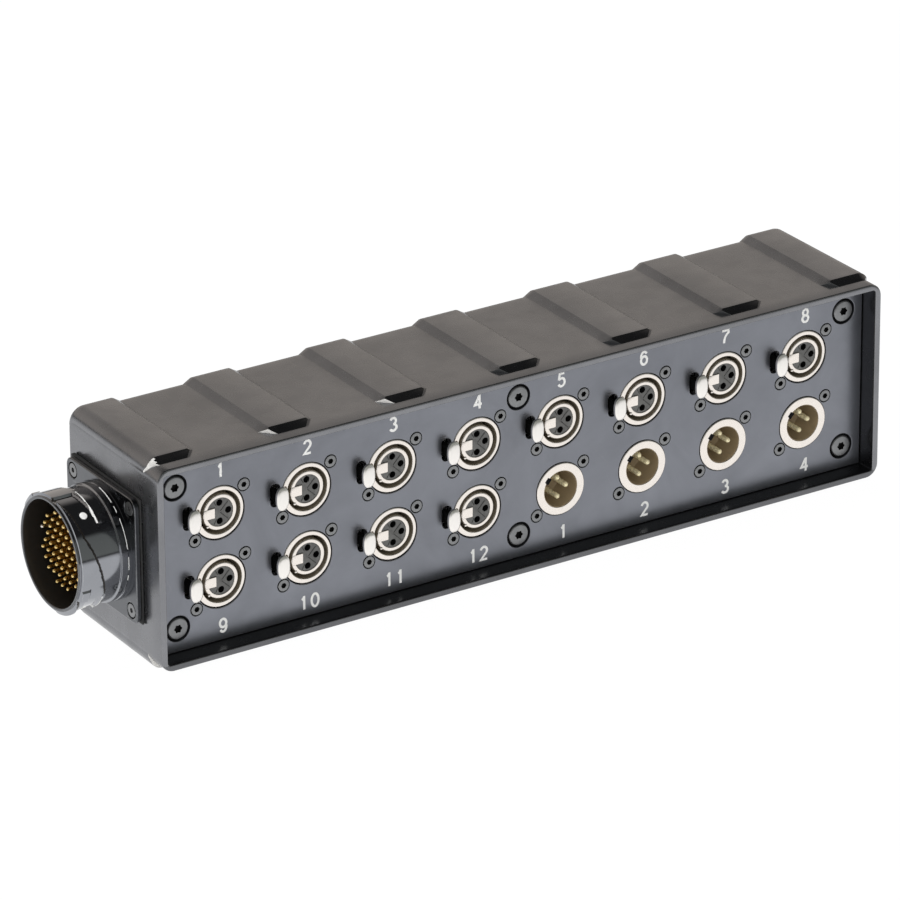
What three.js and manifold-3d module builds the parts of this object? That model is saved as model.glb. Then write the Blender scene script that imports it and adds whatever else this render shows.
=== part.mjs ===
// A stage box: a ribbed moulded housing, a recessed front panel with sixteen three-pin
// connectors in two rows, and a round multipin connector on the left end.
// Millimetres. X runs along the box to the right, Y from the front rim to the back, Z up.
// The origin is on the surface that the box stands on, under its middle.

import * as THREE from "three";
import { mergeVertices } from "three/addons/utils/BufferGeometryUtils.js";
import Module from "manifold-3d";

const wasm = await Module();
wasm.setup();

// Connector grid
const COLUMN_COUNT = 8;
const COLUMN_PITCH = 42.5;
const ROW_SPACING = 31.6;
const MALE_COUNT = 4;
const MOUNT_SCREW_ACROSS = 24;
const MOUNT_SCREW_UP = 20;

// Housing
const END_MARGIN = 34.75;
const ROW_MARGIN = 30.45;
const HOUSING_DEPTH = 77;
const HOUSING_CORNER_RADIUS = 6;
const BACK_EDGE_RADIUS = 6;
const END_DRAFT_ANGLE = THREE.MathUtils.degToRad(1);
const RIM_WALL = 3;
const HOUSING_WALL = 5;
const CAVITY_CORNER_RADIUS = 3;
const RECESS_CORNER_RADIUS = 1;
const PANEL_RECESS = 9.5;

// Ribs across the top and the bottom
const RIB_COUNT = 7;
const RIB_TOP_WIDTH = 18;
const RIB_HEIGHT = 2.3;
const RIB_SLOPE = 3.9;
const RIB_END_INSET = 2.3;
const RIB_SETBACK = 6.2;
const RIB_CORNER_CUT = 5.3;

// Front panel
const PANEL_THICKNESS = 3;
const CLEARANCE = 0.3;

// Shell shared by both kinds of connector
const SHELL_RADIUS = 12;
const SHELL_HOLE_GAP = 0.5;
const SHELL_REAR_DEPTH = 22;
const FLANGE_MARGIN = 3.5;
const FLANGE_THICKNESS = 2;
const FLANGE_CORNER_RADIUS = 3;
const SHELL_SIDES = 16;
const INSERT_SIDES = 12;

// Small countersunk screw
const SMALL_HEAD_RADIUS = 2.9;
const SMALL_SHANK_RADIUS = 1.35;
const SMALL_SCREW_SINK = 0.1;
const SMALL_SCREW_SIDES = 6;

// Female connector
const FEMALE_RING_SINK = 0.1;
const INNER_RING_SINK = 0.2;
const OUTER_RING_WALL = 2.15;
const GROOVE_WIDTH = 1.7;
const GROOVE_DEPTH = 11;
const INNER_RING_WALL = 1.8;
const FEMALE_INSERT_SINK = 0.6;
const CONTACT_CIRCLE_RADIUS = 4.3;
const CONTACT_HOLE_RADIUS = 1.25;
const CONTACT_HOLE_DEPTH = 9;
const CONTACT_HOLE_SIDES = 6;
const KEY_PLATE_REACH = 5.8;
const KEY_PLATE_HEIGHT = 4.7;
const KEY_PLATE_SINK = 0.2;
const KEY_PLATE_DEPTH = 6;

// Push tab of the latch
const TAB_FROM_RING = 3;
const TAB_RISE = 1;
const TAB_WIDTH = 6.6;
const TAB_HEIGHT = 10.4;
const TAB_THICKNESS = 2;
const TAB_STEM_WIDTH = 2.8;
const TAB_STEM_HEIGHT = 6.4;
const TAB_FOOT_THICKNESS = 1.8;
const TAB_FOOT_OVERHANG = 0.8;
const TAB_TRAVEL = 2.5;
const TAB_STOP_GAP = 1.5;
const SLOT_WIDTH = 4.7;
const SLOT_HEIGHT = 10.5;
const SLOT_FROM_RING = 1;

// Male connector
const MALE_RING_PROUD = 0.2;
const CUP_WALL = 3.55;
const CUP_DEPTH = 14;
const PIN_RADIUS = 1.2;
const PIN_TIP_RECESS = 2;
const PIN_TIP_RADIUS = 1;
const PIN_SIDES = 6;
const NOTCH_WIDTH = 3;
const NOTCH_CUT = 1.2;
const NOTCH_DEPTH = 5;
const NOTCH_ANGLE = THREE.MathUtils.degToRad(141);

// Big panel screw
const BIG_SCREW_END_INSET = 13.5;
const BIG_SCREW_EDGE_INSET = 13.85;
const BIG_HEAD_RADIUS = 4.85;
const BIG_HEAD_HEIGHT = 1.6;
const BIG_HEAD_PROUD = 0.1;
const BIG_HEAD_BEVEL = 0.5;
const BIG_SHANK_RADIUS = 2.5;
const BIG_SHANK_LENGTH = 18;
const BIG_SOCKET_RADIUS = 1.6;
const BIG_SOCKET_DEPTH = 1;
const COUNTERBORE_GAP = 1.05;
const BIG_SCREW_SIDES = 12;
const BIG_SHANK_SIDES = 8;
const BOSS_GAP = 0.5;
const BOSS_INNER_WALL = 2.75;

// Multipin connector
const MULTIPIN_BEHIND_MIDDLE = 4;
const MULTIPIN_FLANGE_MARGIN = 3.5;
const MULTIPIN_FLANGE_THICKNESS = 2.2;
const MULTIPIN_FLANGE_RADIUS = 4;
const GASKET_MIN_THICKNESS = 0.8;
const BARREL_LENGTH = 25;
const BARREL_RADIUS = 25;
const BARREL_WALL = 1.6;
const BARREL_BASE_STEP = 0.8;
const BARREL_BASE_LENGTH = 5;
const LOCK_RING_STEP = 1.8;
const LOCK_RING_SETBACK = 2.2;
const LOCK_RING_LENGTH = 8;
const LOCK_RING_BEVEL = 1.4;
const LOCK_GROOVE_COUNT = 3;
const LOCK_GROOVE_WIDTH = 7;
const MULTIPIN_REAR_STEP = 4;
const MULTIPIN_REAR_WALL = 2.4;
const MULTIPIN_REAR_LENGTH = 16;
const MULTIPIN_INSERT_LIP = 3;
const MULTIPIN_SIDES = 28;
const FLANGE_SCREW_INSET = 5.15;
const FLANGE_SCREW_HEAD_RADIUS = 3.2;
const FLANGE_SCREW_SHANK_RADIUS = 1.6;
const FLANGE_SCREW_SOCKET_RADIUS = 1.2;
const FLANGE_SCREW_SOCKET_DEPTH = 0.9;
const FLANGE_SCREW_SINK = 0.1;
const FLANGE_SCREW_SIDES = 8;
const CONTACT_GRID_PITCH = 4.6;
const CONTACT_GRID_MARGIN = 7.1;
const MULTIPIN_PIN_RADIUS = 0.95;
const MULTIPIN_PIN_HEIGHT = 9;
const MULTIPIN_PIN_TIP_RADIUS = 0.6;
const MULTIPIN_TIP_RECESS = 8;
const MULTIPIN_PIN_SIDES = 5;

// Wiring loom
const LOOM_RADIUS = 6;
const LOOM_SIDES = 8;
const LOOM_STEPS = 12;
const LEAD_RADIUS = 2.6;
const LEAD_SIDES = 4;
const LEAD_STEPS = 2;
const LOOM_WALL_GAP = 8.5;
const LOOM_END_OVERHANG = 8;
const LEAD_STRAIGHT = 3;

// How far a cutting shape runs past the face that it cuts
const OVERRUN = 1;

// Corners of a shape that are closer than this are one corner
const WELD_DISTANCE = 1e-4;

const HEX_SIDES = 6;

// Sizes worked out from the ones above
const HOUSING_LENGTH = (COLUMN_COUNT - 1) * COLUMN_PITCH + 2 * END_MARGIN;
const HOUSING_HEIGHT = ROW_SPACING + 2 * ROW_MARGIN;
const RIB_PITCH = (HOUSING_LENGTH - RIB_TOP_WIDTH - 2 * RIB_END_INSET) / (RIB_COUNT - 1);
const FLANGE_WIDTH = MOUNT_SCREW_ACROSS + 2 * FLANGE_MARGIN;
const FLANGE_HEIGHT = MOUNT_SCREW_UP + 2 * FLANGE_MARGIN;
const GROOVE_OUTER_RADIUS = SHELL_RADIUS - OUTER_RING_WALL;
const GROOVE_INNER_RADIUS = GROOVE_OUTER_RADIUS - GROOVE_WIDTH;
const INSERT_BORE_RADIUS = GROOVE_INNER_RADIUS - INNER_RING_WALL;
const CUP_RADIUS = SHELL_RADIUS - CUP_WALL;
const COUNTERBORE_RADIUS = BIG_HEAD_RADIUS + COUNTERBORE_GAP;
const BARREL_BORE_RADIUS = BARREL_RADIUS - BARREL_WALL;
const BARREL_BASE_RADIUS = BARREL_RADIUS + BARREL_BASE_STEP;
const LOCK_RING_RADIUS = BARREL_RADIUS + LOCK_RING_STEP;
const MULTIPIN_REAR_RADIUS = BARREL_RADIUS - MULTIPIN_REAR_STEP;
const MULTIPIN_REAR_BORE_RADIUS = MULTIPIN_REAR_RADIUS - MULTIPIN_REAR_WALL;
const MULTIPIN_FLANGE_SIDE = 2 * (BARREL_RADIUS + MULTIPIN_FLANGE_MARGIN);
const FLANGE_SCREW_SPACING = MULTIPIN_FLANGE_SIDE - 2 * FLANGE_SCREW_INSET;
const CONTACT_GRID_RADIUS = BARREL_BORE_RADIUS - CONTACT_GRID_MARGIN;
const TAB_OFFSET = SHELL_RADIUS + TAB_FROM_RING;
const TAB_FOOT_HEIGHT = SLOT_HEIGHT + 2 * TAB_FOOT_OVERHANG;
const TAB_PROUD = TAB_STOP_GAP + TAB_TRAVEL + TAB_THICKNESS;
const SLOT_OFFSET = SHELL_RADIUS + SLOT_FROM_RING + SLOT_WIDTH / 2;

// Places worked out from the sizes above
const RIM_Y = -HOUSING_DEPTH / 2;
const BACK_Y = HOUSING_DEPTH / 2;
const PANEL_Y = RIM_Y + PANEL_RECESS;
const PANEL_BACK_Y = PANEL_Y + PANEL_THICKNESS;
const LEDGE_Y = PANEL_BACK_Y + CLEARANCE;
const MIDDLE_Z = RIB_HEIGHT + HOUSING_HEIGHT / 2;
const FLANGE_FRONT_Y = PANEL_BACK_Y + CLEARANCE;
const FLANGE_BACK_Y = FLANGE_FRONT_Y + FLANGE_THICKNESS;
const SHELL_BACK_Y = PANEL_Y + SHELL_REAR_DEPTH;
const MULTIPIN_Y = MULTIPIN_BEHIND_MIDDLE;
const LOOM_Y = BACK_Y - HOUSING_WALL - LOOM_WALL_GAP - LOOM_RADIUS;
const MALE_FIRST_COLUMN = COLUMN_COUNT - MALE_COUNT;

const RUBBER = { color: 0x3c3a38, roughness: 0.75, metalness: 0 };
const PANEL_FINISH = { color: 0x2c2c30, roughness: 0.45, metalness: 0.3 };
const NICKEL = { color: 0xe6e0d6, roughness: 0.25, metalness: 1 };
const INSERT_GREY = { color: 0x8f8f8a, roughness: 0.6, metalness: 0 };
const BLACK_STEEL = { color: 0x1c1c1e, roughness: 0.4, metalness: 0.6 };
const BLACK_SHELL = { color: 0x161618, roughness: 0.25, metalness: 0.7 };
const GOLD = { color: 0xc9a24a, roughness: 0.3, metalness: 1 };
const GASKET_BLACK = { color: 0x101010, roughness: 0.9, metalness: 0 };
const LOOM_BLACK = { color: 0x202020, roughness: 0.7, metalness: 0 };

// Half the housing's length at a given depth: the ends lean inwards towards the back.
function endX(y) {
  return HOUSING_LENGTH / 2 - (y - RIM_Y) * Math.tan(END_DRAFT_ANGLE);
}

function solid(geometry) {
  const bare = geometry.index ? geometry.toNonIndexed() : geometry.clone();
  bare.deleteAttribute("normal");
  bare.deleteAttribute("uv");
  const merged = mergeVertices(bare, WELD_DISTANCE);
  return new wasm.Manifold(
    new wasm.Mesh({
      numProp: 3,
      vertProperties: merged.attributes.position.array,
      triVerts: new Uint32Array(merged.index.array),
    }),
  );
}

function join(solids) {
  return solids.reduce((all, one) => all.add(one));
}

function cut(body, tools) {
  return tools.reduce((left, tool) => left.subtract(tool), body);
}

function meshOf(name, body, finish) {
  const made = body.getMesh();
  const geometry = new THREE.BufferGeometry();
  const stride = made.numProp;
  const places = new Float32Array((made.vertProperties.length / stride) * 3);
  for (let i = 0; i < places.length / 3; i += 1) {
    for (let k = 0; k < 3; k += 1) {
      places[3 * i + k] = made.vertProperties[stride * i + k];
    }
  }
  geometry.setAttribute("position", new THREE.BufferAttribute(places, 3));
  geometry.setIndex(new THREE.BufferAttribute(new Uint32Array(made.triVerts), 1));
  geometry.computeVertexNormals();
  const mesh = new THREE.Mesh(geometry, new THREE.MeshStandardMaterial(finish));
  mesh.name = name;
  return mesh;
}

function boxBetween(low, high) {
  const size = high.map((value, i) => value - low[i]);
  const middle = high.map((value, i) => (value + low[i]) / 2);
  return solid(new THREE.BoxGeometry(...size).translate(...middle));
}

// A round rod along Y.
function rodY(radius, fromY, toY, sides, x = 0, z = 0, endRadius = radius) {
  const geometry = new THREE.CylinderGeometry(endRadius, radius, toY - fromY, sides);
  return solid(geometry.translate(x, (fromY + toY) / 2, z));
}

// A round rod along X, from the outer end to the inner end.
function rodX(radius, fromX, toX, sides, y = 0, z = 0, endRadius = radius) {
  const geometry = new THREE.CylinderGeometry(radius, endRadius, toX - fromX, sides);
  geometry.rotateZ(Math.PI / 2);
  return solid(geometry.translate((fromX + toX) / 2, y, z));
}

// A body turned about the Y axis. Each point is [radius, y], and the list closes on itself.
function turnedY(points, sides) {
  const profile = [...points, points[0]].map(([r, y]) => new THREE.Vector2(r, y));
  return solid(new THREE.LatheGeometry(profile, sides));
}

// A body turned about a line along X. Each point is [radius, x].
function turnedX(points, sides, y, z) {
  const profile = [...points, points[0]].map(([r, x]) => new THREE.Vector2(r, x));
  const geometry = new THREE.LatheGeometry(profile, sides);
  geometry.rotateZ(-Math.PI / 2);
  return solid(geometry.translate(0, y, z));
}

function roundedRectangle(width, height, radius) {
  const w = width / 2;
  const h = height / 2;
  const shape = new THREE.Shape();
  shape.moveTo(w - radius, -h);
  shape.absarc(w - radius, -h + radius, radius, -Math.PI / 2, 0, false);
  shape.absarc(w - radius, h - radius, radius, 0, Math.PI / 2, false);
  shape.absarc(-w + radius, h - radius, radius, Math.PI / 2, Math.PI, false);
  shape.absarc(-w + radius, -h + radius, radius, Math.PI, 1.5 * Math.PI, false);
  return shape;
}

// A flat shape drawn in X and Z, given a thickness along Y.
function prismY(shape, fromY, toY, curveSegments = 4) {
  const depth = toY - fromY;
  const geometry = new THREE.ExtrudeGeometry(shape, { depth, bevelEnabled: false, curveSegments });
  geometry.rotateX(Math.PI / 2);
  return geometry.translate(0, toY, 0);
}

// A flat shape drawn in Y and Z, given a thickness along X.
function prismX(shape, fromX, toX, curveSegments = 4) {
  const depth = toX - fromX;
  const geometry = new THREE.ExtrudeGeometry(shape, { depth, bevelEnabled: false, curveSegments });
  geometry.rotateX(Math.PI / 2);
  geometry.rotateZ(Math.PI / 2);
  return geometry.translate(fromX, 0, 0);
}

// A square-cornered or rounded plate that faces X.
function plateX(side, radius, fromX, toX, y, z) {
  const shape = roundedRectangle(side, side, radius);
  const depth = toX - fromX;
  const geometry = new THREE.ExtrudeGeometry(shape, { depth, bevelEnabled: false, curveSegments: 3 });
  geometry.rotateY(Math.PI / 2);
  return solid(geometry.translate(fromX, y, z));
}

// Leans the ends of a box-like geometry inwards towards the back.
function leanEnds(geometry) {
  const place = geometry.attributes.position;
  for (let i = 0; i < place.count; i += 1) {
    const share = endX(place.getY(i)) / endX(RIM_Y);
    place.setX(i, place.getX(i) * share);
  }
  return geometry;
}

function columnX(column) {
  return (column - (COLUMN_COUNT - 1) / 2) * COLUMN_PITCH;
}

function rowZ(row) {
  return MIDDLE_Z + (row === 0 ? ROW_SPACING / 2 : -ROW_SPACING / 2);
}

// The connectors in the order of their numbers: the top row, then the rest of the females below.
const FEMALE_PLACES = [];
const MALE_PLACES = [];
for (let column = 0; column < COLUMN_COUNT; column += 1) {
  FEMALE_PLACES.push([columnX(column), rowZ(0)]);
}
for (let column = 0; column < COLUMN_COUNT; column += 1) {
  const places = column < MALE_FIRST_COLUMN ? FEMALE_PLACES : MALE_PLACES;
  places.push([columnX(column), rowZ(1)]);
}
const ALL_PLACES = [...FEMALE_PLACES, ...MALE_PLACES];

const BIG_SCREW_PLACES = [];
const BIG_SCREW_SPAN = HOUSING_LENGTH / 2 - BIG_SCREW_END_INSET;
const BIG_SCREW_RISE = HOUSING_HEIGHT / 2 - BIG_SCREW_EDGE_INSET;
for (const x of [-BIG_SCREW_SPAN, 0, BIG_SCREW_SPAN]) {
  BIG_SCREW_PLACES.push([x, MIDDLE_Z + BIG_SCREW_RISE]);
  BIG_SCREW_PLACES.push([x, MIDDLE_Z - BIG_SCREW_RISE]);
}

// The small screws sit above at the right and below at the left of their connector.
const SMALL_SCREW_SIDES_OF_CONNECTOR = [1, -1];

function smallScrewPlace(side) {
  return [(side * MOUNT_SCREW_ACROSS) / 2, (side * MOUNT_SCREW_UP) / 2];
}

// The housing's outer shape for a given height: rounded corners all along the depth, ends that
// lean inwards, and round edges at the top and the bottom of the back.
function roundedBlock(height) {
  const section = roundedRectangle(HOUSING_LENGTH, height, HOUSING_CORNER_RADIUS);
  const block = solid(leanEnds(prismY(section, RIM_Y, BACK_Y, 3)));
  const half = height / 2;
  const arcY = BACK_Y - BACK_EDGE_RADIUS;
  const arcZ = half - BACK_EDGE_RADIUS;
  const side = new THREE.Shape();
  side.moveTo(RIM_Y - OVERRUN, -half);
  side.lineTo(arcY, -half);
  side.absarc(arcY, -arcZ, BACK_EDGE_RADIUS, -Math.PI / 2, 0, false);
  side.absarc(arcY, arcZ, BACK_EDGE_RADIUS, 0, Math.PI / 2, false);
  side.lineTo(RIM_Y - OVERRUN, half);
  const across = solid(prismX(side, -HOUSING_LENGTH, HOUSING_LENGTH, 3));
  return block.intersect(across).translate([0, 0, MIDDLE_Z]);
}

// One rib on the top. Its front and its sides slope, and the front corners are cut upright.
// The two outermost ribs run past the ends, where the raised outer shape trims them.
function topRib(i) {
  const x = (i - (RIB_COUNT - 1) / 2) * RIB_PITCH;
  const low = x - RIB_TOP_WIDTH / 2;
  const high = x + RIB_TOP_WIDTH / 2;
  const left = i === 0 ? -HOUSING_LENGTH : low;
  const right = i === RIB_COUNT - 1 ? HOUSING_LENGTH : high;
  const footY = RIM_Y + RIB_SETBACK;
  const topY = footY + RIB_SLOPE;
  const pastY = BACK_Y + OVERRUN;
  const faceZ = MIDDLE_Z + HOUSING_HEIGHT / 2;
  const top = new THREE.Shape([
    new THREE.Vector2(left, topY),
    new THREE.Vector2(right, topY),
    new THREE.Vector2(right, pastY),
    new THREE.Vector2(left, pastY),
  ]);
  const slopes = new THREE.ExtrudeGeometry(top, {
    depth: HOUSING_CORNER_RADIUS,
    bevelEnabled: true,
    bevelThickness: RIB_HEIGHT,
    bevelSize: RIB_SLOPE,
    bevelSegments: 1,
  });
  const footLow = low - RIB_SLOPE;
  const footHigh = high + RIB_SLOPE;
  const foot = new THREE.Shape([
    new THREE.Vector2(footLow + RIB_CORNER_CUT, footY),
    new THREE.Vector2(footHigh - RIB_CORNER_CUT, footY),
    new THREE.Vector2(footHigh, footY + RIB_CORNER_CUT),
    new THREE.Vector2(footHigh, pastY),
    new THREE.Vector2(footLow, pastY),
    new THREE.Vector2(footLow, footY + RIB_CORNER_CUT),
  ]);
  const corners = new THREE.ExtrudeGeometry(foot, {
    depth: HOUSING_CORNER_RADIUS + 2 * RIB_HEIGHT,
    bevelEnabled: false,
  });
  const rib = solid(slopes).intersect(solid(corners));
  return rib.translate([0, 0, faceZ - HOUSING_CORNER_RADIUS]);
}

function pocket(inset, fromY, toY, radius) {
  const width = HOUSING_LENGTH - 2 * inset;
  const height = HOUSING_HEIGHT - 2 * inset;
  const geometry = prismY(roundedRectangle(width, height, radius), fromY, toY);
  return solid(leanEnds(geometry).translate(0, 0, MIDDLE_Z));
}

// A block that stands in the cavity behind a panel screw and runs out to the nearest walls.
// It keeps clear of the connector flanges beside it.
function screwBoss(x, z) {
  const outward = Math.sign(z - MIDDLE_Z);
  const wallZ = MIDDLE_Z + outward * (HOUSING_HEIGHT / 2 - HOUSING_WALL / 2);
  const innerZ = z - outward * (BIG_SHANK_RADIUS + BOSS_INNER_WALL);
  const backY = BACK_Y - HOUSING_WALL / 2;
  const wallX = endX(backY) - HOUSING_WALL / 2;
  const clearX = FLANGE_WIDTH / 2 + BOSS_GAP;
  const middleHalf = COLUMN_PITCH / 2 - clearX;
  const endInnerX = columnX(COLUMN_COUNT - 1) + clearX;
  const lowX = x < 0 ? -wallX : x > 0 ? endInnerX : -middleHalf;
  const highX = x > 0 ? wallX : x < 0 ? -endInnerX : middleHalf;
  return boxBetween(
    [lowX, LEDGE_Y, Math.min(wallZ, innerZ)],
    [highX, backY, Math.max(wallZ, innerZ)],
  );
}

function flangeScrewPlaces() {
  const half = FLANGE_SCREW_SPACING / 2;
  return [
    [MULTIPIN_Y - half, MIDDLE_Z + half],
    [MULTIPIN_Y + half, MIDDLE_Z + half],
    [MULTIPIN_Y - half, MIDDLE_Z - half],
    [MULTIPIN_Y + half, MIDDLE_Z - half],
  ];
}

function housing() {
  const ribs = [];
  for (let i = 0; i < RIB_COUNT; i += 1) {
    const rib = topRib(i);
    ribs.push(rib);
    ribs.push(rib.mirror([0, 0, 1]).translate([0, 0, 2 * MIDDLE_Z]));
  }
  const raised = roundedBlock(HOUSING_HEIGHT + 2 * RIB_HEIGHT);
  let body = join([roundedBlock(HOUSING_HEIGHT), join(ribs).intersect(raised)]);
  body = body.subtract(pocket(RIM_WALL, RIM_Y - OVERRUN, LEDGE_Y, RECESS_CORNER_RADIUS));
  const cavityBackY = BACK_Y - HOUSING_WALL;
  let cavity = pocket(HOUSING_WALL, LEDGE_Y - OVERRUN, cavityBackY, CAVITY_CORNER_RADIUS);
  cavity = cut(cavity, BIG_SCREW_PLACES.map(([x, z]) => screwBoss(x, z)));
  body = body.subtract(cavity);
  const pilots = BIG_SCREW_PLACES.map(([x, z]) =>
    rodY(
      BIG_SHANK_RADIUS + CLEARANCE,
      LEDGE_Y - OVERRUN,
      PANEL_Y + BIG_SHANK_LENGTH + OVERRUN,
      BIG_SHANK_SIDES,
      x,
      z,
    ),
  );
  const outerX = -HOUSING_LENGTH / 2 - OVERRUN;
  const innerX = -endX(BACK_Y) + 2 * HOUSING_WALL;
  const endHole = rodX(
    MULTIPIN_REAR_RADIUS + CLEARANCE,
    outerX,
    innerX,
    MULTIPIN_SIDES,
    MULTIPIN_Y,
    MIDDLE_Z,
  );
  const screwHoles = flangeScrewPlaces().map(([y, z]) =>
    rodX(FLANGE_SCREW_SHANK_RADIUS + CLEARANCE, outerX, innerX, FLANGE_SCREW_SIDES, y, z),
  );
  return cut(body, [...pilots, endHole, ...screwHoles]);
}

// The slot that the push tab's stem passes through, beside the hole for the ring.
function tabSlot(fromY, toY) {
  const shape = roundedRectangle(SLOT_WIDTH, SLOT_HEIGHT, SLOT_WIDTH / 2 - CLEARANCE);
  return solid(prismY(shape, fromY, toY, 2).translate(-SLOT_OFFSET, 0, TAB_RISE));
}

function frontPanel() {
  const inset = RIM_WALL + CLEARANCE;
  const width = 2 * endX(PANEL_BACK_Y) - 2 * inset;
  const height = HOUSING_HEIGHT - 2 * inset;
  const shape = roundedRectangle(width, height, RECESS_CORNER_RADIUS - CLEARANCE);
  const plate = solid(prismY(shape, PANEL_Y, PANEL_BACK_Y).translate(0, 0, MIDDLE_Z));
  const tools = [];
  const fromY = PANEL_Y - OVERRUN;
  const toY = PANEL_BACK_Y + OVERRUN;
  const hole = rodY(SHELL_RADIUS + SHELL_HOLE_GAP, fromY, toY, SHELL_SIDES);
  const slot = tabSlot(fromY, toY);
  for (const [x, z] of ALL_PLACES) {
    tools.push(hole.translate([x, 0, z]));
    for (const side of SMALL_SCREW_SIDES_OF_CONNECTOR) {
      const [dx, dz] = smallScrewPlace(side);
      tools.push(
        rodY(
          SMALL_HEAD_RADIUS + CLEARANCE,
          PANEL_Y,
          PANEL_BACK_Y,
          SMALL_SCREW_SIDES,
          x + dx,
          z + dz,
          SMALL_SHANK_RADIUS + CLEARANCE,
        ),
      );
    }
  }
  for (const [x, z] of FEMALE_PLACES) {
    tools.push(slot.translate([x, 0, z]));
  }
  const counterboreY = PANEL_Y - BIG_HEAD_PROUD + BIG_HEAD_HEIGHT + CLEARANCE;
  for (const [x, z] of BIG_SCREW_PLACES) {
    tools.push(rodY(COUNTERBORE_RADIUS, fromY, counterboreY, BIG_SCREW_SIDES, x, z));
    tools.push(rodY(BIG_SHANK_RADIUS + CLEARANCE, fromY, toY, BIG_SHANK_SIDES, x, z));
  }
  return cut(plate, tools);
}

function panelScrew() {
  const faceY = PANEL_Y - BIG_HEAD_PROUD;
  const headBackY = faceY + BIG_HEAD_HEIGHT;
  const bevelRadius = BIG_HEAD_RADIUS - BIG_HEAD_BEVEL;
  const bevelY = faceY + BIG_HEAD_BEVEL;
  const body = join([
    rodY(bevelRadius, faceY, bevelY, BIG_SCREW_SIDES, 0, 0, BIG_HEAD_RADIUS),
    rodY(BIG_HEAD_RADIUS, bevelY, headBackY, BIG_SCREW_SIDES),
    rodY(BIG_SHANK_RADIUS, headBackY - OVERRUN, PANEL_Y + BIG_SHANK_LENGTH, BIG_SHANK_SIDES),
  ]);
  return body.subtract(rodY(BIG_SOCKET_RADIUS, faceY - OVERRUN, faceY + BIG_SOCKET_DEPTH, HEX_SIDES));
}

// The plate behind the panel that holds a connector, with its two countersunk screws.
function connectorFlange() {
  const shape = roundedRectangle(FLANGE_WIDTH, FLANGE_HEIGHT, FLANGE_CORNER_RADIUS);
  const parts = [solid(prismY(shape, FLANGE_FRONT_Y, FLANGE_BACK_Y, 1))];
  for (const side of SMALL_SCREW_SIDES_OF_CONNECTOR) {
    const [x, z] = smallScrewPlace(side);
    const faceY = PANEL_Y + SMALL_SCREW_SINK;
    parts.push(
      rodY(SMALL_HEAD_RADIUS, faceY, PANEL_BACK_Y, SMALL_SCREW_SIDES, x, z, SMALL_SHANK_RADIUS),
    );
    parts.push(
      rodY(SMALL_SHANK_RADIUS, PANEL_BACK_Y, FLANGE_BACK_Y, SMALL_SCREW_SIDES, x, z),
    );
  }
  return join(parts);
}

function femaleShell() {
  const ringY = PANEL_Y + FEMALE_RING_SINK;
  const innerY = PANEL_Y + INNER_RING_SINK;
  const floorY = ringY + GROOVE_DEPTH;
  const turned = turnedY(
    [
      [INSERT_BORE_RADIUS, innerY],
      [GROOVE_INNER_RADIUS, innerY],
      [GROOVE_INNER_RADIUS, floorY],
      [GROOVE_OUTER_RADIUS, floorY],
      [GROOVE_OUTER_RADIUS, ringY],
      [SHELL_RADIUS, ringY],
      [SHELL_RADIUS, SHELL_BACK_Y],
      [INSERT_BORE_RADIUS, SHELL_BACK_Y],
    ],
    SHELL_SIDES,
  );
  const middle = rodY(
    (SHELL_RADIUS + GROOVE_OUTER_RADIUS) / 2,
    FLANGE_FRONT_Y - OVERRUN,
    FLANGE_BACK_Y + OVERRUN,
    SHELL_SIDES,
  );
  const half = TAB_FOOT_HEIGHT / 2 + CLEARANCE;
  const stemWindow = boxBetween(
    [-FLANGE_WIDTH, FLANGE_FRONT_Y - OVERRUN, TAB_RISE - half],
    [-SHELL_RADIUS - CLEARANCE, FLANGE_BACK_Y + OVERRUN, TAB_RISE + half],
  );
  const keyPlate = boxBetween(
    [-GROOVE_INNER_RADIUS + CLEARANCE, PANEL_Y + KEY_PLATE_SINK, -KEY_PLATE_HEIGHT / 2],
    [-GROOVE_INNER_RADIUS + KEY_PLATE_REACH, PANEL_Y + KEY_PLATE_DEPTH, KEY_PLATE_HEIGHT / 2],
  );
  const flange = cut(connectorFlange(), [middle, stemWindow]);
  return join([turned, flange, keyPlate]);
}

function contactPlaces() {
  return [Math.PI / 2, 0, -Math.PI / 2].map((angle) => [
    CONTACT_CIRCLE_RADIUS * Math.cos(angle),
    CONTACT_CIRCLE_RADIUS * Math.sin(angle),
  ]);
}

function femaleInsert() {
  const frontY = PANEL_Y + FEMALE_INSERT_SINK;
  const body = rodY(INSERT_BORE_RADIUS - CLEARANCE, frontY, SHELL_BACK_Y, INSERT_SIDES);
  const holes = contactPlaces().map(([x, z]) =>
    rodY(
      CONTACT_HOLE_RADIUS,
      frontY - OVERRUN,
      frontY + CONTACT_HOLE_DEPTH,
      CONTACT_HOLE_SIDES,
      x,
      z,
    ),
  );
  const half = KEY_PLATE_HEIGHT / 2 + CLEARANCE;
  const keyway = boxBetween(
    [-SHELL_RADIUS, frontY - OVERRUN, -half],
    [
      -GROOVE_INNER_RADIUS + KEY_PLATE_REACH + CLEARANCE,
      PANEL_Y + KEY_PLATE_DEPTH + CLEARANCE,
      half,
    ],
  );
  return cut(body, [...holes, keyway]);
}

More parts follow.
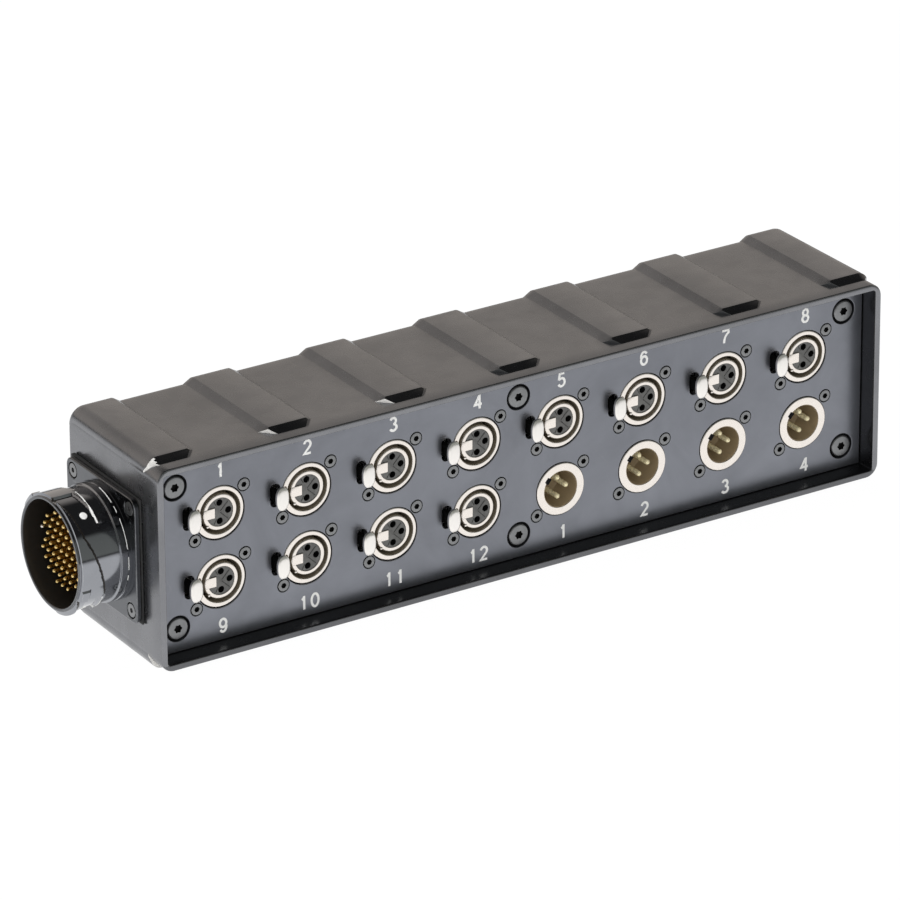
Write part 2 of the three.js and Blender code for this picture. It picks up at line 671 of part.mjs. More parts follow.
// The push tab, its stem through the panel, and the foot that keeps it behind the panel.
function latch() {
  const faceY = PANEL_Y - TAB_PROUD;
  const tabBackY = faceY + TAB_THICKNESS;
  const shape = roundedRectangle(TAB_WIDTH, TAB_HEIGHT, TAB_WIDTH / 2 - CLEARANCE);
  const tab = solid(prismY(shape, faceY, tabBackY, 2).translate(-TAB_OFFSET, 0, 0));
  const stemX = TAB_STEM_WIDTH / 2;
  const footFrontY = FLANGE_FRONT_Y;
  const stem = boxBetween(
    [-SLOT_OFFSET - stemX, tabBackY - TAB_THICKNESS / 2, -TAB_STEM_HEIGHT / 2],
    [-SLOT_OFFSET + stemX, footFrontY + TAB_FOOT_THICKNESS / 2, TAB_STEM_HEIGHT / 2],
  );
  const foot = boxBetween(
    [-SLOT_OFFSET - SLOT_WIDTH / 2 - TAB_FOOT_OVERHANG, footFrontY, -TAB_FOOT_HEIGHT / 2],
    [-SHELL_RADIUS - 2 * CLEARANCE, footFrontY + TAB_FOOT_THICKNESS, TAB_FOOT_HEIGHT / 2],
  );
  return join([tab, stem, foot]).translate([0, 0, TAB_RISE]);
}

function maleShell() {
  const faceY = PANEL_Y - MALE_RING_PROUD;
  const turned = turnedY(
    [
      [CUP_RADIUS, faceY],
      [SHELL_RADIUS, faceY],
      [SHELL_RADIUS, SHELL_BACK_Y],
      [CUP_RADIUS, SHELL_BACK_Y],
    ],
    SHELL_SIDES,
  );
  const middle = rodY(
    (SHELL_RADIUS + CUP_RADIUS) / 2,
    FLANGE_FRONT_Y - OVERRUN,
    FLANGE_BACK_Y + OVERRUN,
    SHELL_SIDES,
  );
  const notch = boxBetween(
    [0, faceY - OVERRUN, -NOTCH_WIDTH / 2],
    [CUP_RADIUS + NOTCH_CUT, faceY + NOTCH_DEPTH, NOTCH_WIDTH / 2],
  ).rotate([0, -THREE.MathUtils.radToDeg(NOTCH_ANGLE), 0]);
  const flange = connectorFlange().subtract(middle);
  return join([turned, flange]).subtract(notch);
}

function maleInsert() {
  const faceY = PANEL_Y - MALE_RING_PROUD;
  const floorY = faceY + CUP_DEPTH;
  const tipY = faceY + PIN_TIP_RECESS;
  const parts = [rodY(CUP_RADIUS - CLEARANCE, floorY, SHELL_BACK_Y, INSERT_SIDES)];
  for (const [x, z] of contactPlaces()) {
    parts.push(rodY(PIN_TIP_RADIUS, tipY, floorY + OVERRUN, PIN_SIDES, x, z, PIN_RADIUS));
  }
  return join(parts);
}

// Faces of the multipin connector, from the housing outwards. X grows towards the housing.
const GASKET_OUTER_X = -endX(MULTIPIN_Y - MULTIPIN_FLANGE_SIDE / 2) - CLEARANCE - GASKET_MIN_THICKNESS;
const MULTIPIN_FLANGE_BACK_X = GASKET_OUTER_X - CLEARANCE;
const MULTIPIN_FLANGE_X = MULTIPIN_FLANGE_BACK_X - MULTIPIN_FLANGE_THICKNESS;
const MULTIPIN_RIM_X = MULTIPIN_FLANGE_X - BARREL_LENGTH;
const MULTIPIN_REAR_X = MULTIPIN_FLANGE_BACK_X + MULTIPIN_REAR_LENGTH;
const MULTIPIN_FLOOR_X = MULTIPIN_RIM_X + MULTIPIN_TIP_RECESS + MULTIPIN_PIN_HEIGHT;

// A flat ring between the flange and the leaning end wall, thicker towards the back.
function multipinGasket() {
  const half = MULTIPIN_FLANGE_SIDE / 2;
  const frontY = MULTIPIN_Y - half;
  const backY = MULTIPIN_Y + half;
  const shape = new THREE.Shape([
    new THREE.Vector2(GASKET_OUTER_X, frontY),
    new THREE.Vector2(-endX(frontY) - CLEARANCE, frontY),
    new THREE.Vector2(-endX(backY) - CLEARANCE, backY),
    new THREE.Vector2(GASKET_OUTER_X, backY),
  ]);
  const geometry = new THREE.ExtrudeGeometry(shape, {
    depth: MULTIPIN_FLANGE_SIDE,
    bevelEnabled: false,
  });
  const plate = solid(geometry.translate(0, 0, MIDDLE_Z - half));
  const fromX = GASKET_OUTER_X - OVERRUN;
  const toX = -endX(backY) + OVERRUN;
  const bore = rodX(
    MULTIPIN_REAR_RADIUS + CLEARANCE,
    fromX,
    toX,
    MULTIPIN_SIDES,
    MULTIPIN_Y,
    MIDDLE_Z,
  );
  const holes = flangeScrewPlaces().map(([y, z]) =>
    rodX(FLANGE_SCREW_SHANK_RADIUS + CLEARANCE, fromX, toX, FLANGE_SCREW_SIDES, y, z),
  );
  return cut(plate, [bore, ...holes]);
}

function multipinShell() {
  const rim = MULTIPIN_RIM_X;
  const lockFrontX = rim + LOCK_RING_SETBACK;
  const lockBackX = lockFrontX + LOCK_RING_LENGTH;
  const baseX = MULTIPIN_FLANGE_X - BARREL_BASE_LENGTH;
  const seatX = MULTIPIN_FLOOR_X + MULTIPIN_INSERT_LIP + CLEARANCE;
  const turned = turnedX(
    [
      [BARREL_BORE_RADIUS, rim],
      [BARREL_RADIUS, rim],
      [BARREL_RADIUS, lockFrontX - LOCK_RING_BEVEL],
      [LOCK_RING_RADIUS, lockFrontX],
      [LOCK_RING_RADIUS, lockBackX],
      [BARREL_RADIUS, lockBackX],
      [BARREL_RADIUS, baseX],
      [BARREL_BASE_RADIUS, baseX],
      [BARREL_BASE_RADIUS, MULTIPIN_FLANGE_BACK_X],
      [MULTIPIN_REAR_RADIUS, MULTIPIN_FLANGE_BACK_X],
      [MULTIPIN_REAR_RADIUS, MULTIPIN_REAR_X],
      [MULTIPIN_REAR_BORE_RADIUS, MULTIPIN_REAR_X],
      [MULTIPIN_REAR_BORE_RADIUS, seatX],
      [BARREL_BORE_RADIUS, seatX],
    ],
    MULTIPIN_SIDES,
    MULTIPIN_Y,
    MIDDLE_Z,
  );
  const plate = plateX(
    MULTIPIN_FLANGE_SIDE,
    MULTIPIN_FLANGE_RADIUS,
    MULTIPIN_FLANGE_X,
    MULTIPIN_FLANGE_BACK_X,
    MULTIPIN_Y,
    MIDDLE_Z,
  );
  const middle = rodX(
    (BARREL_BORE_RADIUS + BARREL_BASE_RADIUS) / 2,
    MULTIPIN_FLANGE_X - OVERRUN,
    MULTIPIN_FLANGE_BACK_X + OVERRUN,
    MULTIPIN_SIDES,
    MULTIPIN_Y,
    MIDDLE_Z,
  );
  const tools = [];
  for (let i = 0; i < LOCK_GROOVE_COUNT; i += 1) {
    const slot = boxBetween(
      [rim, BARREL_RADIUS, -LOCK_GROOVE_WIDTH / 2],
      [lockBackX + OVERRUN, LOCK_RING_RADIUS + OVERRUN, LOCK_GROOVE_WIDTH / 2],
    );
    const angle = (360 / LOCK_GROOVE_COUNT) * i;
    tools.push(slot.rotate([angle, 0, 0]).translate([0, MULTIPIN_Y, MIDDLE_Z]));
  }
  for (const [y, z] of flangeScrewPlaces()) {
    tools.push(
      rodX(
        FLANGE_SCREW_HEAD_RADIUS + CLEARANCE,
        MULTIPIN_FLANGE_X,
        MULTIPIN_FLANGE_BACK_X,
        FLANGE_SCREW_SIDES,
        y,
        z,
        FLANGE_SCREW_SHANK_RADIUS + CLEARANCE,
      ),
    );
  }
  return cut(join([turned, plate.subtract(middle)]), tools);
}

// A countersunk screw whose tip stays inside the end wall, which leans, at the screw's place.
function flangeScrew(y) {
  const faceX = MULTIPIN_FLANGE_X + FLANGE_SCREW_SINK;
  const tipX = -endX(y) + RIM_WALL - CLEARANCE;
  const head = rodX(
    FLANGE_SCREW_HEAD_RADIUS,
    faceX,
    MULTIPIN_FLANGE_BACK_X,
    FLANGE_SCREW_SIDES,
    0,
    0,
    FLANGE_SCREW_SHANK_RADIUS,
  );
  const shank = rodX(
    FLANGE_SCREW_SHANK_RADIUS,
    MULTIPIN_FLANGE_BACK_X,
    tipX,
    FLANGE_SCREW_SIDES,
  );
  const socket = rodX(
    FLANGE_SCREW_SOCKET_RADIUS,
    faceX - OVERRUN,
    faceX + FLANGE_SCREW_SOCKET_DEPTH,
    HEX_SIDES,
  );
  return head.add(shank).subtract(socket);
}

// The pins stand on a triangular grid inside a circle.
function multipinGrid() {
  const places = [];
  const rowStep = (CONTACT_GRID_PITCH * Math.sqrt(3)) / 2;
  const rows = Math.ceil(CONTACT_GRID_RADIUS / rowStep);
  const columns = Math.ceil(CONTACT_GRID_RADIUS / CONTACT_GRID_PITCH) + 1;
  for (let row = -rows; row <= rows; row += 1) {
    for (let column = -columns; column <= columns; column += 1) {
      const shift = Math.abs(row % 2) / 2;
      const y = (column + shift) * CONTACT_GRID_PITCH;
      const z = row * rowStep;
      if (Math.hypot(y, z) <= CONTACT_GRID_RADIUS) {
        places.push([y, z]);
      }
    }
  }
  return places;
}

function multipinInsert() {
  const lipBackX = MULTIPIN_FLOOR_X + MULTIPIN_INSERT_LIP;
  const tipX = MULTIPIN_RIM_X + MULTIPIN_TIP_RECESS;
  const parts = [
    rodX(BARREL_BORE_RADIUS - CLEARANCE, MULTIPIN_FLOOR_X, lipBackX, MULTIPIN_SIDES),
    rodX(MULTIPIN_REAR_BORE_RADIUS - CLEARANCE, lipBackX - OVERRUN, MULTIPIN_REAR_X, MULTIPIN_SIDES),
  ];
  for (const [y, z] of multipinGrid()) {
    parts.push(
      rodX(
        MULTIPIN_PIN_TIP_RADIUS,
        tipX,
        MULTIPIN_FLOOR_X + OVERRUN,
        MULTIPIN_PIN_SIDES,
        y,
        z,
        MULTIPIN_PIN_RADIUS,
      ),
    );
  }
  return join(parts).translate([0, MULTIPIN_Y, MIDDLE_Z]);
}

// A round bundle along a curve, with flat ends.
function bundle(points, radius, sides, steps) {
  const section = new THREE.Shape();
  for (let i = 0; i < sides; i += 1) {
    const angle = (2 * Math.PI * i) / sides;
    const x = radius * Math.cos(angle);
    const y = radius * Math.sin(angle);
    if (i === 0) {
      section.moveTo(x, y);
    } else {
      section.lineTo(x, y);
    }
  }
  section.closePath();
  const route = new THREE.CatmullRomCurve3(points);
  return solid(new THREE.ExtrudeGeometry(section, { steps, extrudePath: route }));
}

// The trunk leaves the multipin insert, swings to the back and feeds a lead to each connector.
function wiringLoom() {
  const startX = MULTIPIN_REAR_X + CLEARANCE;
  const bendX = startX + 2 * LOOM_RADIUS;
  const endOfTrunkX = columnX(COLUMN_COUNT - 1) + LOOM_END_OVERHANG;
  const trunk = bundle(
    [
      new THREE.Vector3(startX, MULTIPIN_Y, MIDDLE_Z),
      new THREE.Vector3(startX + LEAD_STRAIGHT, MULTIPIN_Y, MIDDLE_Z),
      new THREE.Vector3(bendX, LOOM_Y, MIDDLE_Z),
      new THREE.Vector3(bendX + 2 * LOOM_RADIUS, LOOM_Y, MIDDLE_Z),
      new THREE.Vector3(endOfTrunkX, LOOM_Y, MIDDLE_Z),
    ],
    LOOM_RADIUS,
    LOOM_SIDES,
    LOOM_STEPS,
  );
  const leads = ALL_PLACES.map(([x, z]) =>
    bundle(
      [
        new THREE.Vector3(x, SHELL_BACK_Y + CLEARANCE, z),
        new THREE.Vector3(x, SHELL_BACK_Y + CLEARANCE + LEAD_STRAIGHT, z),
        new THREE.Vector3(x, LOOM_Y, MIDDLE_Z),
      ],
      LEAD_RADIUS,
      LEAD_SIDES,
      LEAD_STEPS,
    ),
  );
  return join([trunk, ...leads]);
}

function placed(name, body, finish, x, y, z) {
  const mesh = meshOf(name, body, finish);
  mesh.position.set(x, y, z);
  return mesh;
}

const stageBox = new THREE.Group();
stageBox.add(meshOf("housing", housing(), RUBBER));
stageBox.add(meshOf("front_panel", frontPanel(), PANEL_FINISH));

BIG_SCREW_PLACES.forEach(([x, z], i) => {
  stageBox.add(placed(`panel_screw_${i + 1}`, panelScrew(), BLACK_STEEL, x, 0, z));
});

FEMALE_PLACES.forEach(([x, z], i) => {
  const number = i + 1;
  stageBox.add(placed(`female_shell_${number}`, femaleShell(), NICKEL, x, 0, z));
  stageBox.add(placed(`female_insert_${number}`, femaleInsert(), INSERT_GREY, x, 0, z));
  stageBox.add(placed(`latch_${number}`, latch(), NICKEL, x, 0, z));
});

MALE_PLACES.forEach(([x, z], i) => {
  const number = i + 1;
  stageBox.add(placed(`male_shell_${number}`, maleShell(), NICKEL, x, 0, z));
  stageBox.add(placed(`male_insert_${number}`, maleInsert(), GOLD, x, 0, z));
});

stageBox.add(meshOf("multipin_shell", multipinShell(), BLACK_SHELL));
stageBox.add(meshOf("multipin_insert", multipinInsert(), GOLD));
stageBox.add(meshOf("multipin_gasket", multipinGasket(), GASKET_BLACK));
flangeScrewPlaces().forEach(([y, z], i) => {
  stageBox.add(placed(`flange_screw_${i + 1}`, flangeScrew(y), BLACK_STEEL, 0, y, z));
});
stageBox.add(meshOf("wiring_loom", wiringLoom(), LOOM_BLACK));

export default stageBox;
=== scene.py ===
import math

import bmesh
import bpy
from bpy.props import FloatProperty, FloatVectorProperty, PointerProperty
from bpy.types import Operator, Panel, PropertyGroup
from mathutils import Matrix, Vector


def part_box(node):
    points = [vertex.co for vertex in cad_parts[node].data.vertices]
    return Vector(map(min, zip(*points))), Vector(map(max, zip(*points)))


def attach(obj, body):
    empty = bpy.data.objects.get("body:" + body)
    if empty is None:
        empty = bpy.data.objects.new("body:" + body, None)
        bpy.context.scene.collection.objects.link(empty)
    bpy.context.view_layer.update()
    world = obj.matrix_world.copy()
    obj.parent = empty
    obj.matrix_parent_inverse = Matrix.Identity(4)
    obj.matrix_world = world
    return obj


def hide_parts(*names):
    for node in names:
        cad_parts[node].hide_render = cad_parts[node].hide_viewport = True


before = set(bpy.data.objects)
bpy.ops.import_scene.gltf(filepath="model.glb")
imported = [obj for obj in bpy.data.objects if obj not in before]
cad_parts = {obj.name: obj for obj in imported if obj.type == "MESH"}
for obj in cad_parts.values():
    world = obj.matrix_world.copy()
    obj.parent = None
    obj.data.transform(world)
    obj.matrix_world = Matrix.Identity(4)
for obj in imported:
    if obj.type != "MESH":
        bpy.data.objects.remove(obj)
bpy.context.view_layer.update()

bl_info = {
    "name": "Stage Box",
    "version": (1, 0, 0),
    "blender": (4, 5, 0),
    "location": "3D View > Sidebar > Stage Box",
    "description": "A ribbed stage box with sixteen three-pin connectors and a multipin connector",
    "category": "Add Mesh",
}

# Shape code works in millimetres, and the meshes are in metres
MM = 0.001

HOUSING_LOW, HOUSING_HIGH = (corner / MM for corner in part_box("housing"))
PANEL_LOW, PANEL_HIGH = (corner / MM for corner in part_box("front_panel"))
SHELL_LOW, SHELL_HIGH = (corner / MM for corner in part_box("multipin_shell"))
PANEL_Y = PANEL_LOW.y
MULTIPIN_CENTRE = (SHELL_LOW + SHELL_HIGH) / 2


def middle_of(node):
    low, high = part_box(node)
    return (low + high) / (2 * MM)


def numbered(stem):
    """The nodes of one kind, in the order of their numbers."""
    found = [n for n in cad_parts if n.rpartition("_")[0] == stem]
    return sorted(found, key=lambda n: int(n.rpartition("_")[2]))


def size(label, text, millimetres):
    return FloatProperty(
        name=label, description=text, default=millimetres * MM, unit="LENGTH", precision=5
    )


def tint(label, text, red, green, blue):
    return FloatVectorProperty(
        name=label,
        description=text,
        default=(red, green, blue),
        min=0.0,
        max=1.0,
        subtype="COLOR",
    )


class StageBoxHousing(PropertyGroup):
    rim_wall: size("Rim wall", "Width of the rim round the front panel", 3.0)
    wall: size("Wall", "Thickness of the walls behind the panel", 5.0)
    corner_radius: size("Corner radius", "Radius of the long outer corners", 6.0)
    recess_corner: size("Recess corner", "Radius of the corners inside the rim", 0.8)
    back_radius: size("Back edge", "Radius of the long edges round the back", 6.0)
    back_end_radius: size("Back end edge", "Radius of the upright edges at the back", 1.5)
    rib_pitch: size("Rib pitch", "Distance from rib to rib", 57.4)
    rib_top_width: size("Rib width", "Width of a rib's flat top", 18.0)
    rib_height: size("Rib height", "How far a rib stands out", 2.3)
    rib_slope: size("Rib slope", "How far a rib's sides and front run out", 3.9)
    rib_setback: size("Rib setback", "From the rim to the foot of a rib", 6.2)
    rib_corner: size("Rib corner", "From the corner of a rib's top to its upright cut", 1.7)
    edge_softness: size("Edge softness", "How round the rib edges are", 0.35)


class StageBoxConnectors(PropertyGroup):
    ring_radius: size("Ring radius", "Outside of a connector's ring", 11.95)
    hole_radius: size("Panel hole", "Radius of the panel's hole round a ring", 12.3)
    groove_outer: size("Groove outer radius", "Outside of the groove", 9.86)
    groove_inner: size("Groove inner radius", "Inside of the groove", 8.15)
    groove_depth: size("Groove depth", "Depth of the groove from the ring's face", 11.0)
    groove_shift: size("Groove shift", "How far the groove sits to the right of the ring", 0.5)
    insert_radius: size("Insert radius", "Radius of the grey insert", 6.3)
    hole_circle: size("Hole circle", "Radius of the circle of contact holes", 4.2)
    pin_circle: size("Pin circle", "Radius of the circle of pins", 4.4)
    contact_hole: size("Contact hole", "Radius of a contact's hole", 1.5)
    ring_sink: size("Ring sink", "Female ring's face behind the panel's", 0.2)
    cup_radius: size("Cup radius", "Radius of the cup round the pins", 8.45)
    cup_depth: size("Cup depth", "Depth of the cup round the pins", 14.0)
    pin_radius: size("Pin radius", "Radius of a pin", 1.2)
    pin_recess: size("Pin recess", "Tip of a pin behind the ring's face", 1.9)
    screw_radius: size("Small screw", "Radius of a small screw's head", 2.7)
    screw_across: size("Screw offset across", "Small screw from the middle, along the box", 12.0)
    screw_up: size("Screw offset up", "Small screw from the middle, upwards", 10.0)
    tab_offset: size("Tab offset", "Push tab's middle from the ring's middle", 14.6)
    tab_rise: size("Tab rise", "Push tab's middle above the ring's middle", 1.0)
    tab_width: size("Tab width", "Width of the push tab", 5.9)
    tab_height: size("Tab height", "Height of the push tab", 10.5)


class StageBoxMultipin(PropertyGroup):
    barrel_radius: size("Barrel radius", "Outside of the barrel", 25.0)
    bore_radius: size("Bore radius", "Inside of the barrel", 23.4)
    barrel_length: size("Barrel length", "From the flange to the rim", 25.0)
    flange_thickness: size("Flange thickness", "Thickness of the square flange", 2.2)
    flange_corner: size("Flange corner", "Corner radius of the square flange", 4.0)
    ramp_height: size("Ramp height", "How far the coupling ramps stand out", 1.1)
    lug_height: size("Lug height", "How far the lugs stand out of the rim band", 0.8)
    pin_pitch: size("Pin pitch", "Distance between the pins", 4.6)
    field_radius: size("Pin field", "Radius of the field of pins", 17.2)
    pin_radius: size("Pin radius", "Radius of a pin", 0.95)
    pin_recess: size("Pin recess", "Tip of a pin behind the rim", 5.0)
    pin_height: size("Pin height", "How far a pin stands out of the insert", 12.0)


class StageBoxFinishes(PropertyGroup):
    coat: tint("Housing", "Satin coat of the housing", 0.205, 0.208, 0.220)
    panel: tint("Panel", "Satin coat of the front panel", 0.222, 0.231, 0.258)
    # The recess tint is painted shade: a darker coat for the walls of the recess and the ribs'
    # front slopes
    recess: tint("Recess", "Walls between the rim and the panel", 0.075, 0.076, 0.080)
    # The rubbed tint is partly a painted highlight, on the rib corners that face left and front
    rubbed: tint("Rubbed corners", "Bare moulding on the corners of the ribs", 0.60, 0.59, 0.57)
    worn: tint("Wear", "Rubbed edges and scratches", 0.40, 0.39, 0.37)
    nickel: tint("Nickel", "Plated rings and tabs", 0.93, 0.87, 0.81)
    bright: tint("Tabs", "Plated push tabs and rivets", 1.0, 0.97, 0.93)
    shade: tint("Groove", "Dark lining of the grooves", 0.12, 0.10, 0.07)
    insert: tint("Insert", "Grey inserts of the female connectors", 0.125, 0.124, 0.12)
    # The relief tint is painted shade along the insert's raised lines
    relief: tint("Relief", "Dark lines of the inserts", 0.03, 0.03, 0.028)
    cup: tint("Cup", "Plated inside of the male connectors", 0.27, 0.205, 0.12)
    pins: tint("Pins", "Plated pins of the male connectors", 0.95, 0.86, 0.56)
    screw: tint("Screws", "Blackened steel screws", 0.245, 0.25, 0.255)
    barrel: tint("Multipin shell", "Glossy dark plating", 0.31, 0.32, 0.345)
    flange: tint("Flange", "Dark plating of the square flange", 0.13, 0.135, 0.145)
    gold: tint("Gold", "Gold-plated contacts", 1.0, 0.75, 0.32)
    # The print tint also colours the painted highlights and the rivets of the multipin's barrel
    print_white: tint("Numbers", "Printed numbers", 0.78, 0.78, 0.76)


def housing_sizes():
    return bpy.context.scene.stage_box_housing


def connector_sizes():
    return bpy.context.scene.stage_box_connectors


def multipin_sizes():
    return bpy.context.scene.stage_box_multipin


def finishes():
    return bpy.context.scene.stage_box_finishes


def mm(value):
    return value / MM


# Nodes


def put(tree, kind, inputs=None, **settings):
    """Adds a node. An input is a value or another node's output."""
    made = tree.nodes.new(kind)
    for key, value in settings.items():
        setattr(made, key, value)
    for key, value in (inputs or {}).items():
        socket = made.inputs[key]
        if isinstance(value, bpy.types.NodeSocket):
            tree.links.new(value, socket)
        else:
            socket.default_value = value
    return made


def maths(tree, operation, first, second):
    return put(tree, "ShaderNodeMath", {0: first, 1: second}, operation=operation).outputs[0]


def blend_colours(tree, share, first, second):
    made = put(tree, "ShaderNodeMix", data_type="RGBA")
    for index, value in ((0, share), (6, first), (7, second)):
        socket = made.inputs[index]
        if isinstance(value, bpy.types.NodeSocket):
            tree.links.new(value, socket)
        elif index == 0:
            socket.default_value = value
        else:
            socket.default_value = (*value[:3], 1.0)
    return made.outputs[2]


def between(tree, value, low, high, to_low=0.0, to_high=1.0):
    limits = {"From Min": low, "From Max": high, "To Min": to_low, "To Max": to_high}
    return put(tree, "ShaderNodeMapRange", {"Value": value, **limits}).outputs[0]


def noise(tree, vector, scale, **others):
    inputs = {"Vector": vector, "Scale": scale, **others}
    return put(tree, "ShaderNodeTexNoise", inputs).outputs[0]


def ramp(tree, value, stops):
    """A colour ramp. Each stop is its position and its red, green and blue."""
    made = put(tree, "ShaderNodeValToRGB", {"Fac": value})
    elements = made.color_ramp.elements
    for element, (position, *colour) in ((elements[0], stops[0]), (elements[1], stops[-1])):
        element.position = position
        element.color = (*colour, 1.0)
    for position, *colour in stops[1:-1]:
        elements.new(position).color = (*colour, 1.0)
    return made.outputs[0]


def group_tree(name, numbers_in, outs):
    """An empty shader group, with numbers as its inputs and outputs."""
    tree = bpy.data.node_groups.new(name, "ShaderNodeTree")
    for label, value in numbers_in:
        socket = tree.interface.new_socket(label, in_out="INPUT", socket_type="NodeSocketFloat")
        socket.default_value = value
    for label in outs:
        tree.interface.new_socket(label, in_out="OUTPUT", socket_type="NodeSocketFloat")
    inside = tree.nodes.new("NodeGroupInput")
    outside = tree.nodes.new("NodeGroupOutput")
    return tree, inside.outputs, outside.inputs


def shader_group(numbers_in, outs):
    """Names a group after the function that fills it, and makes it when first asked for."""
    def wrap(fill):
        def wrapped():
            name = fill.__name__
            if name not in bpy.data.node_groups:
                fill(*group_tree(name, numbers_in, outs))
            return bpy.data.node_groups[name]
        return wrapped
    return wrap


@shader_group([("Grain scale", 900.0), ("Mottle scale", 24.0)], ["Grain", "Mottle", "Blotch"])
def mould_grain(tree, given, out):
    """Fine grain and broad mottling, in object space."""
    spot = put(tree, "ShaderNodeTexCoord").outputs["Object"]
    fine = noise(tree, spot, given["Grain scale"], Detail=3.0, Roughness=0.6)
    broad = noise(tree, spot, given["Mottle scale"], Detail=5.0, Roughness=0.62, Distortion=0.6)
    blotch_scale = maths(tree, "MULTIPLY", given["Mottle scale"], 4.7)
    blotch = noise(tree, spot, blotch_scale, Detail=2.0)
    for value, label in ((fine, "Grain"), (broad, "Mottle"), (blotch, "Blotch")):
        tree.links.new(value, out[label])


@shader_group([("Scale", 60.0), ("Stretch", 14.0), ("Coverage", 0.3)], ["Mask"])
def fine_scratches(tree, given, out):
    """Long fine scratches in two directions, in object space."""
    place = put(tree, "ShaderNodeTexCoord").outputs["Object"]
    masks = []
    for turn, along in ((0.35, 0), (-0.9, 2)):
        stretch = put(tree, "ShaderNodeCombineXYZ", {0: 1.0, 1: 1.0, 2: 1.0})
        tree.links.new(given["Stretch"], stretch.inputs[along])
        turned = put(tree, "ShaderNodeVectorRotate", {"Vector": place, "Angle": turn},
                     rotation_type="Y_AXIS")
        scaled = put(tree, "ShaderNodeVectorMath",
                     {0: turned.outputs[0], 1: stretch.outputs[0]}, operation="MULTIPLY")
        lines = noise(tree, scaled.outputs[0], given["Scale"], Detail=4.0)
        masks.append(between(tree, lines, 0.66, 0.74))
    both = maths(tree, "MAXIMUM", masks[0], masks[1])
    part = maths(tree, "MULTIPLY", both, given["Coverage"])
    tree.links.new(part, out["Mask"])


@shader_group([("Radius", 0.0006), ("Breakup scale", 300.0), ("Amount", 1.0)], ["Mask"])
def edge_wear(tree, given, out):
    """A mask along outer edges, broken up by noise."""
    soft = put(tree, "ShaderNodeBevel", samples=4)
    tree.links.new(given["Radius"], soft.inputs["Radius"])
    true = put(tree, "ShaderNodeNewGeometry").outputs["Normal"]
    dot = put(tree, "ShaderNodeVectorMath", {0: soft.outputs[0], 1: true},
              operation="DOT_PRODUCT")
    edge = between(tree, dot.outputs["Value"], 0.995, 0.86)
    place = put(tree, "ShaderNodeTexCoord").outputs["Object"]
    patches = noise(tree, place, given["Breakup scale"], Detail=4.0, Roughness=0.7)
    kept = between(tree, patches, 0.35, 0.62)
    worn = maths(tree, "MULTIPLY", edge, kept)
    tree.links.new(maths(tree, "MULTIPLY", worn, given["Amount"]), out["Mask"])


def group_node(tree, group, **values):
    made = put(tree, "ShaderNodeGroup")
    made.node_tree = group()
    for key, value in values.items():
        made.inputs[key.replace("_", " ").capitalize()].default_value = value
    return made.outputs


def new_material(name, metallic=0.0, specular=0.5):
    material = bpy.data.materials.new(name)
    material.use_nodes = True
    tree = material.node_tree
    shader = tree.nodes["Principled BSDF"]
    shader.inputs["Metallic"].default_value = metallic
    shader.inputs["Specular IOR Level"].default_value = specular
    return material, tree, shader


def bump(tree, shader, height, strength, distance=0.0002):
    made = put(tree, "ShaderNodeBump", {"Height": height, "Strength": strength,
                                        "Distance": distance})
    tree.links.new(made.outputs[0], shader.inputs["Normal"])


def feed(tree, shader, **sockets):
    for key, value in sockets.items():
        tree.links.new(value, shader.inputs[key.replace("_", " ")])


def mottled(tree, share, colour, dark, light):
    """A colour that varies between a darker and a lighter shade of itself."""
    return blend_colours(tree, share, [c * dark for c in colour], [c * light for c in colour])


# Materials


def satin_coat(name, colour, low, high, grain_scale=900.0, wear=0.6, scratches=0.10):
    """A dark coat with a metallic sheen, mottled, scratched and rubbed along its edges."""
    material, tree, shader = new_material(name, metallic=0.94)
    grain = group_node(tree, mould_grain, grain_scale=grain_scale, mottle_scale=24.0)
    tone = mottled(tree, between(tree, grain["Mottle"], 0.32, 0.68), colour, 0.90, 1.10)
    worn = group_node(tree, edge_wear, amount=wear, radius=0.0007)
    scratch = group_node(tree, fine_scratches, scale=60.0, coverage=scratches)
    rub = maths(tree, "MAXIMUM", worn["Mask"], scratch["Mask"])
    tone = blend_colours(tree, rub, tone, finishes().worn)
    rough = between(tree, grain["Blotch"], 0.3, 0.7, low, high)
    rough = maths(tree, "ADD", rough, maths(tree, "MULTIPLY", rub, 0.2))
    feed(tree, shader, Base_Color=tone, Roughness=rough)
    height = maths(tree, "ADD", grain["Grain"], maths(tree, "MULTIPLY", grain["Blotch"], 0.7))
    bump(tree, shader, height, 0.05)
    return material


def plated(name, colour, low, high, scratches=0.2, metallic=1.0):
    material, tree, shader = new_material(name, metallic=metallic)
    grain = group_node(tree, mould_grain, grain_scale=700.0, mottle_scale=120.0)
    tone = mottled(tree, between(tree, grain["Mottle"], 0.3, 0.7), colour, 0.93, 1.0)
    scratch = group_node(tree, fine_scratches, scale=260.0, coverage=scratches)
    rough = between(tree, grain["Blotch"], 0.3, 0.7, low, high)
    rough = maths(tree, "ADD", rough, maths(tree, "MULTIPLY", scratch["Mask"], 0.3))
    feed(tree, shader, Base_Color=tone, Roughness=rough)
    bump(tree, shader, grain["Grain"], 0.04, 0.00005)
    return material


def blackened(name, colour, low, high):
    """Blackened steel, worn on its edges."""
    material, tree, shader = new_material(name, metallic=0.9)
    grain = group_node(tree, mould_grain, grain_scale=1800.0, mottle_scale=200.0)
    tone = mottled(tree, grain["Mottle"], colour, 0.7, 1.3)
    worn = group_node(tree, edge_wear, amount=0.9, radius=0.00025, breakup_scale=900.0)
    tone = blend_colours(tree, worn["Mask"], tone, finishes().worn)
    rough = between(tree, grain["Grain"], 0.3, 0.7, low, high)
    feed(tree, shader, Base_Color=tone, Roughness=rough)
    bump(tree, shader, grain["Grain"], 0.08, 0.0001)
    return material


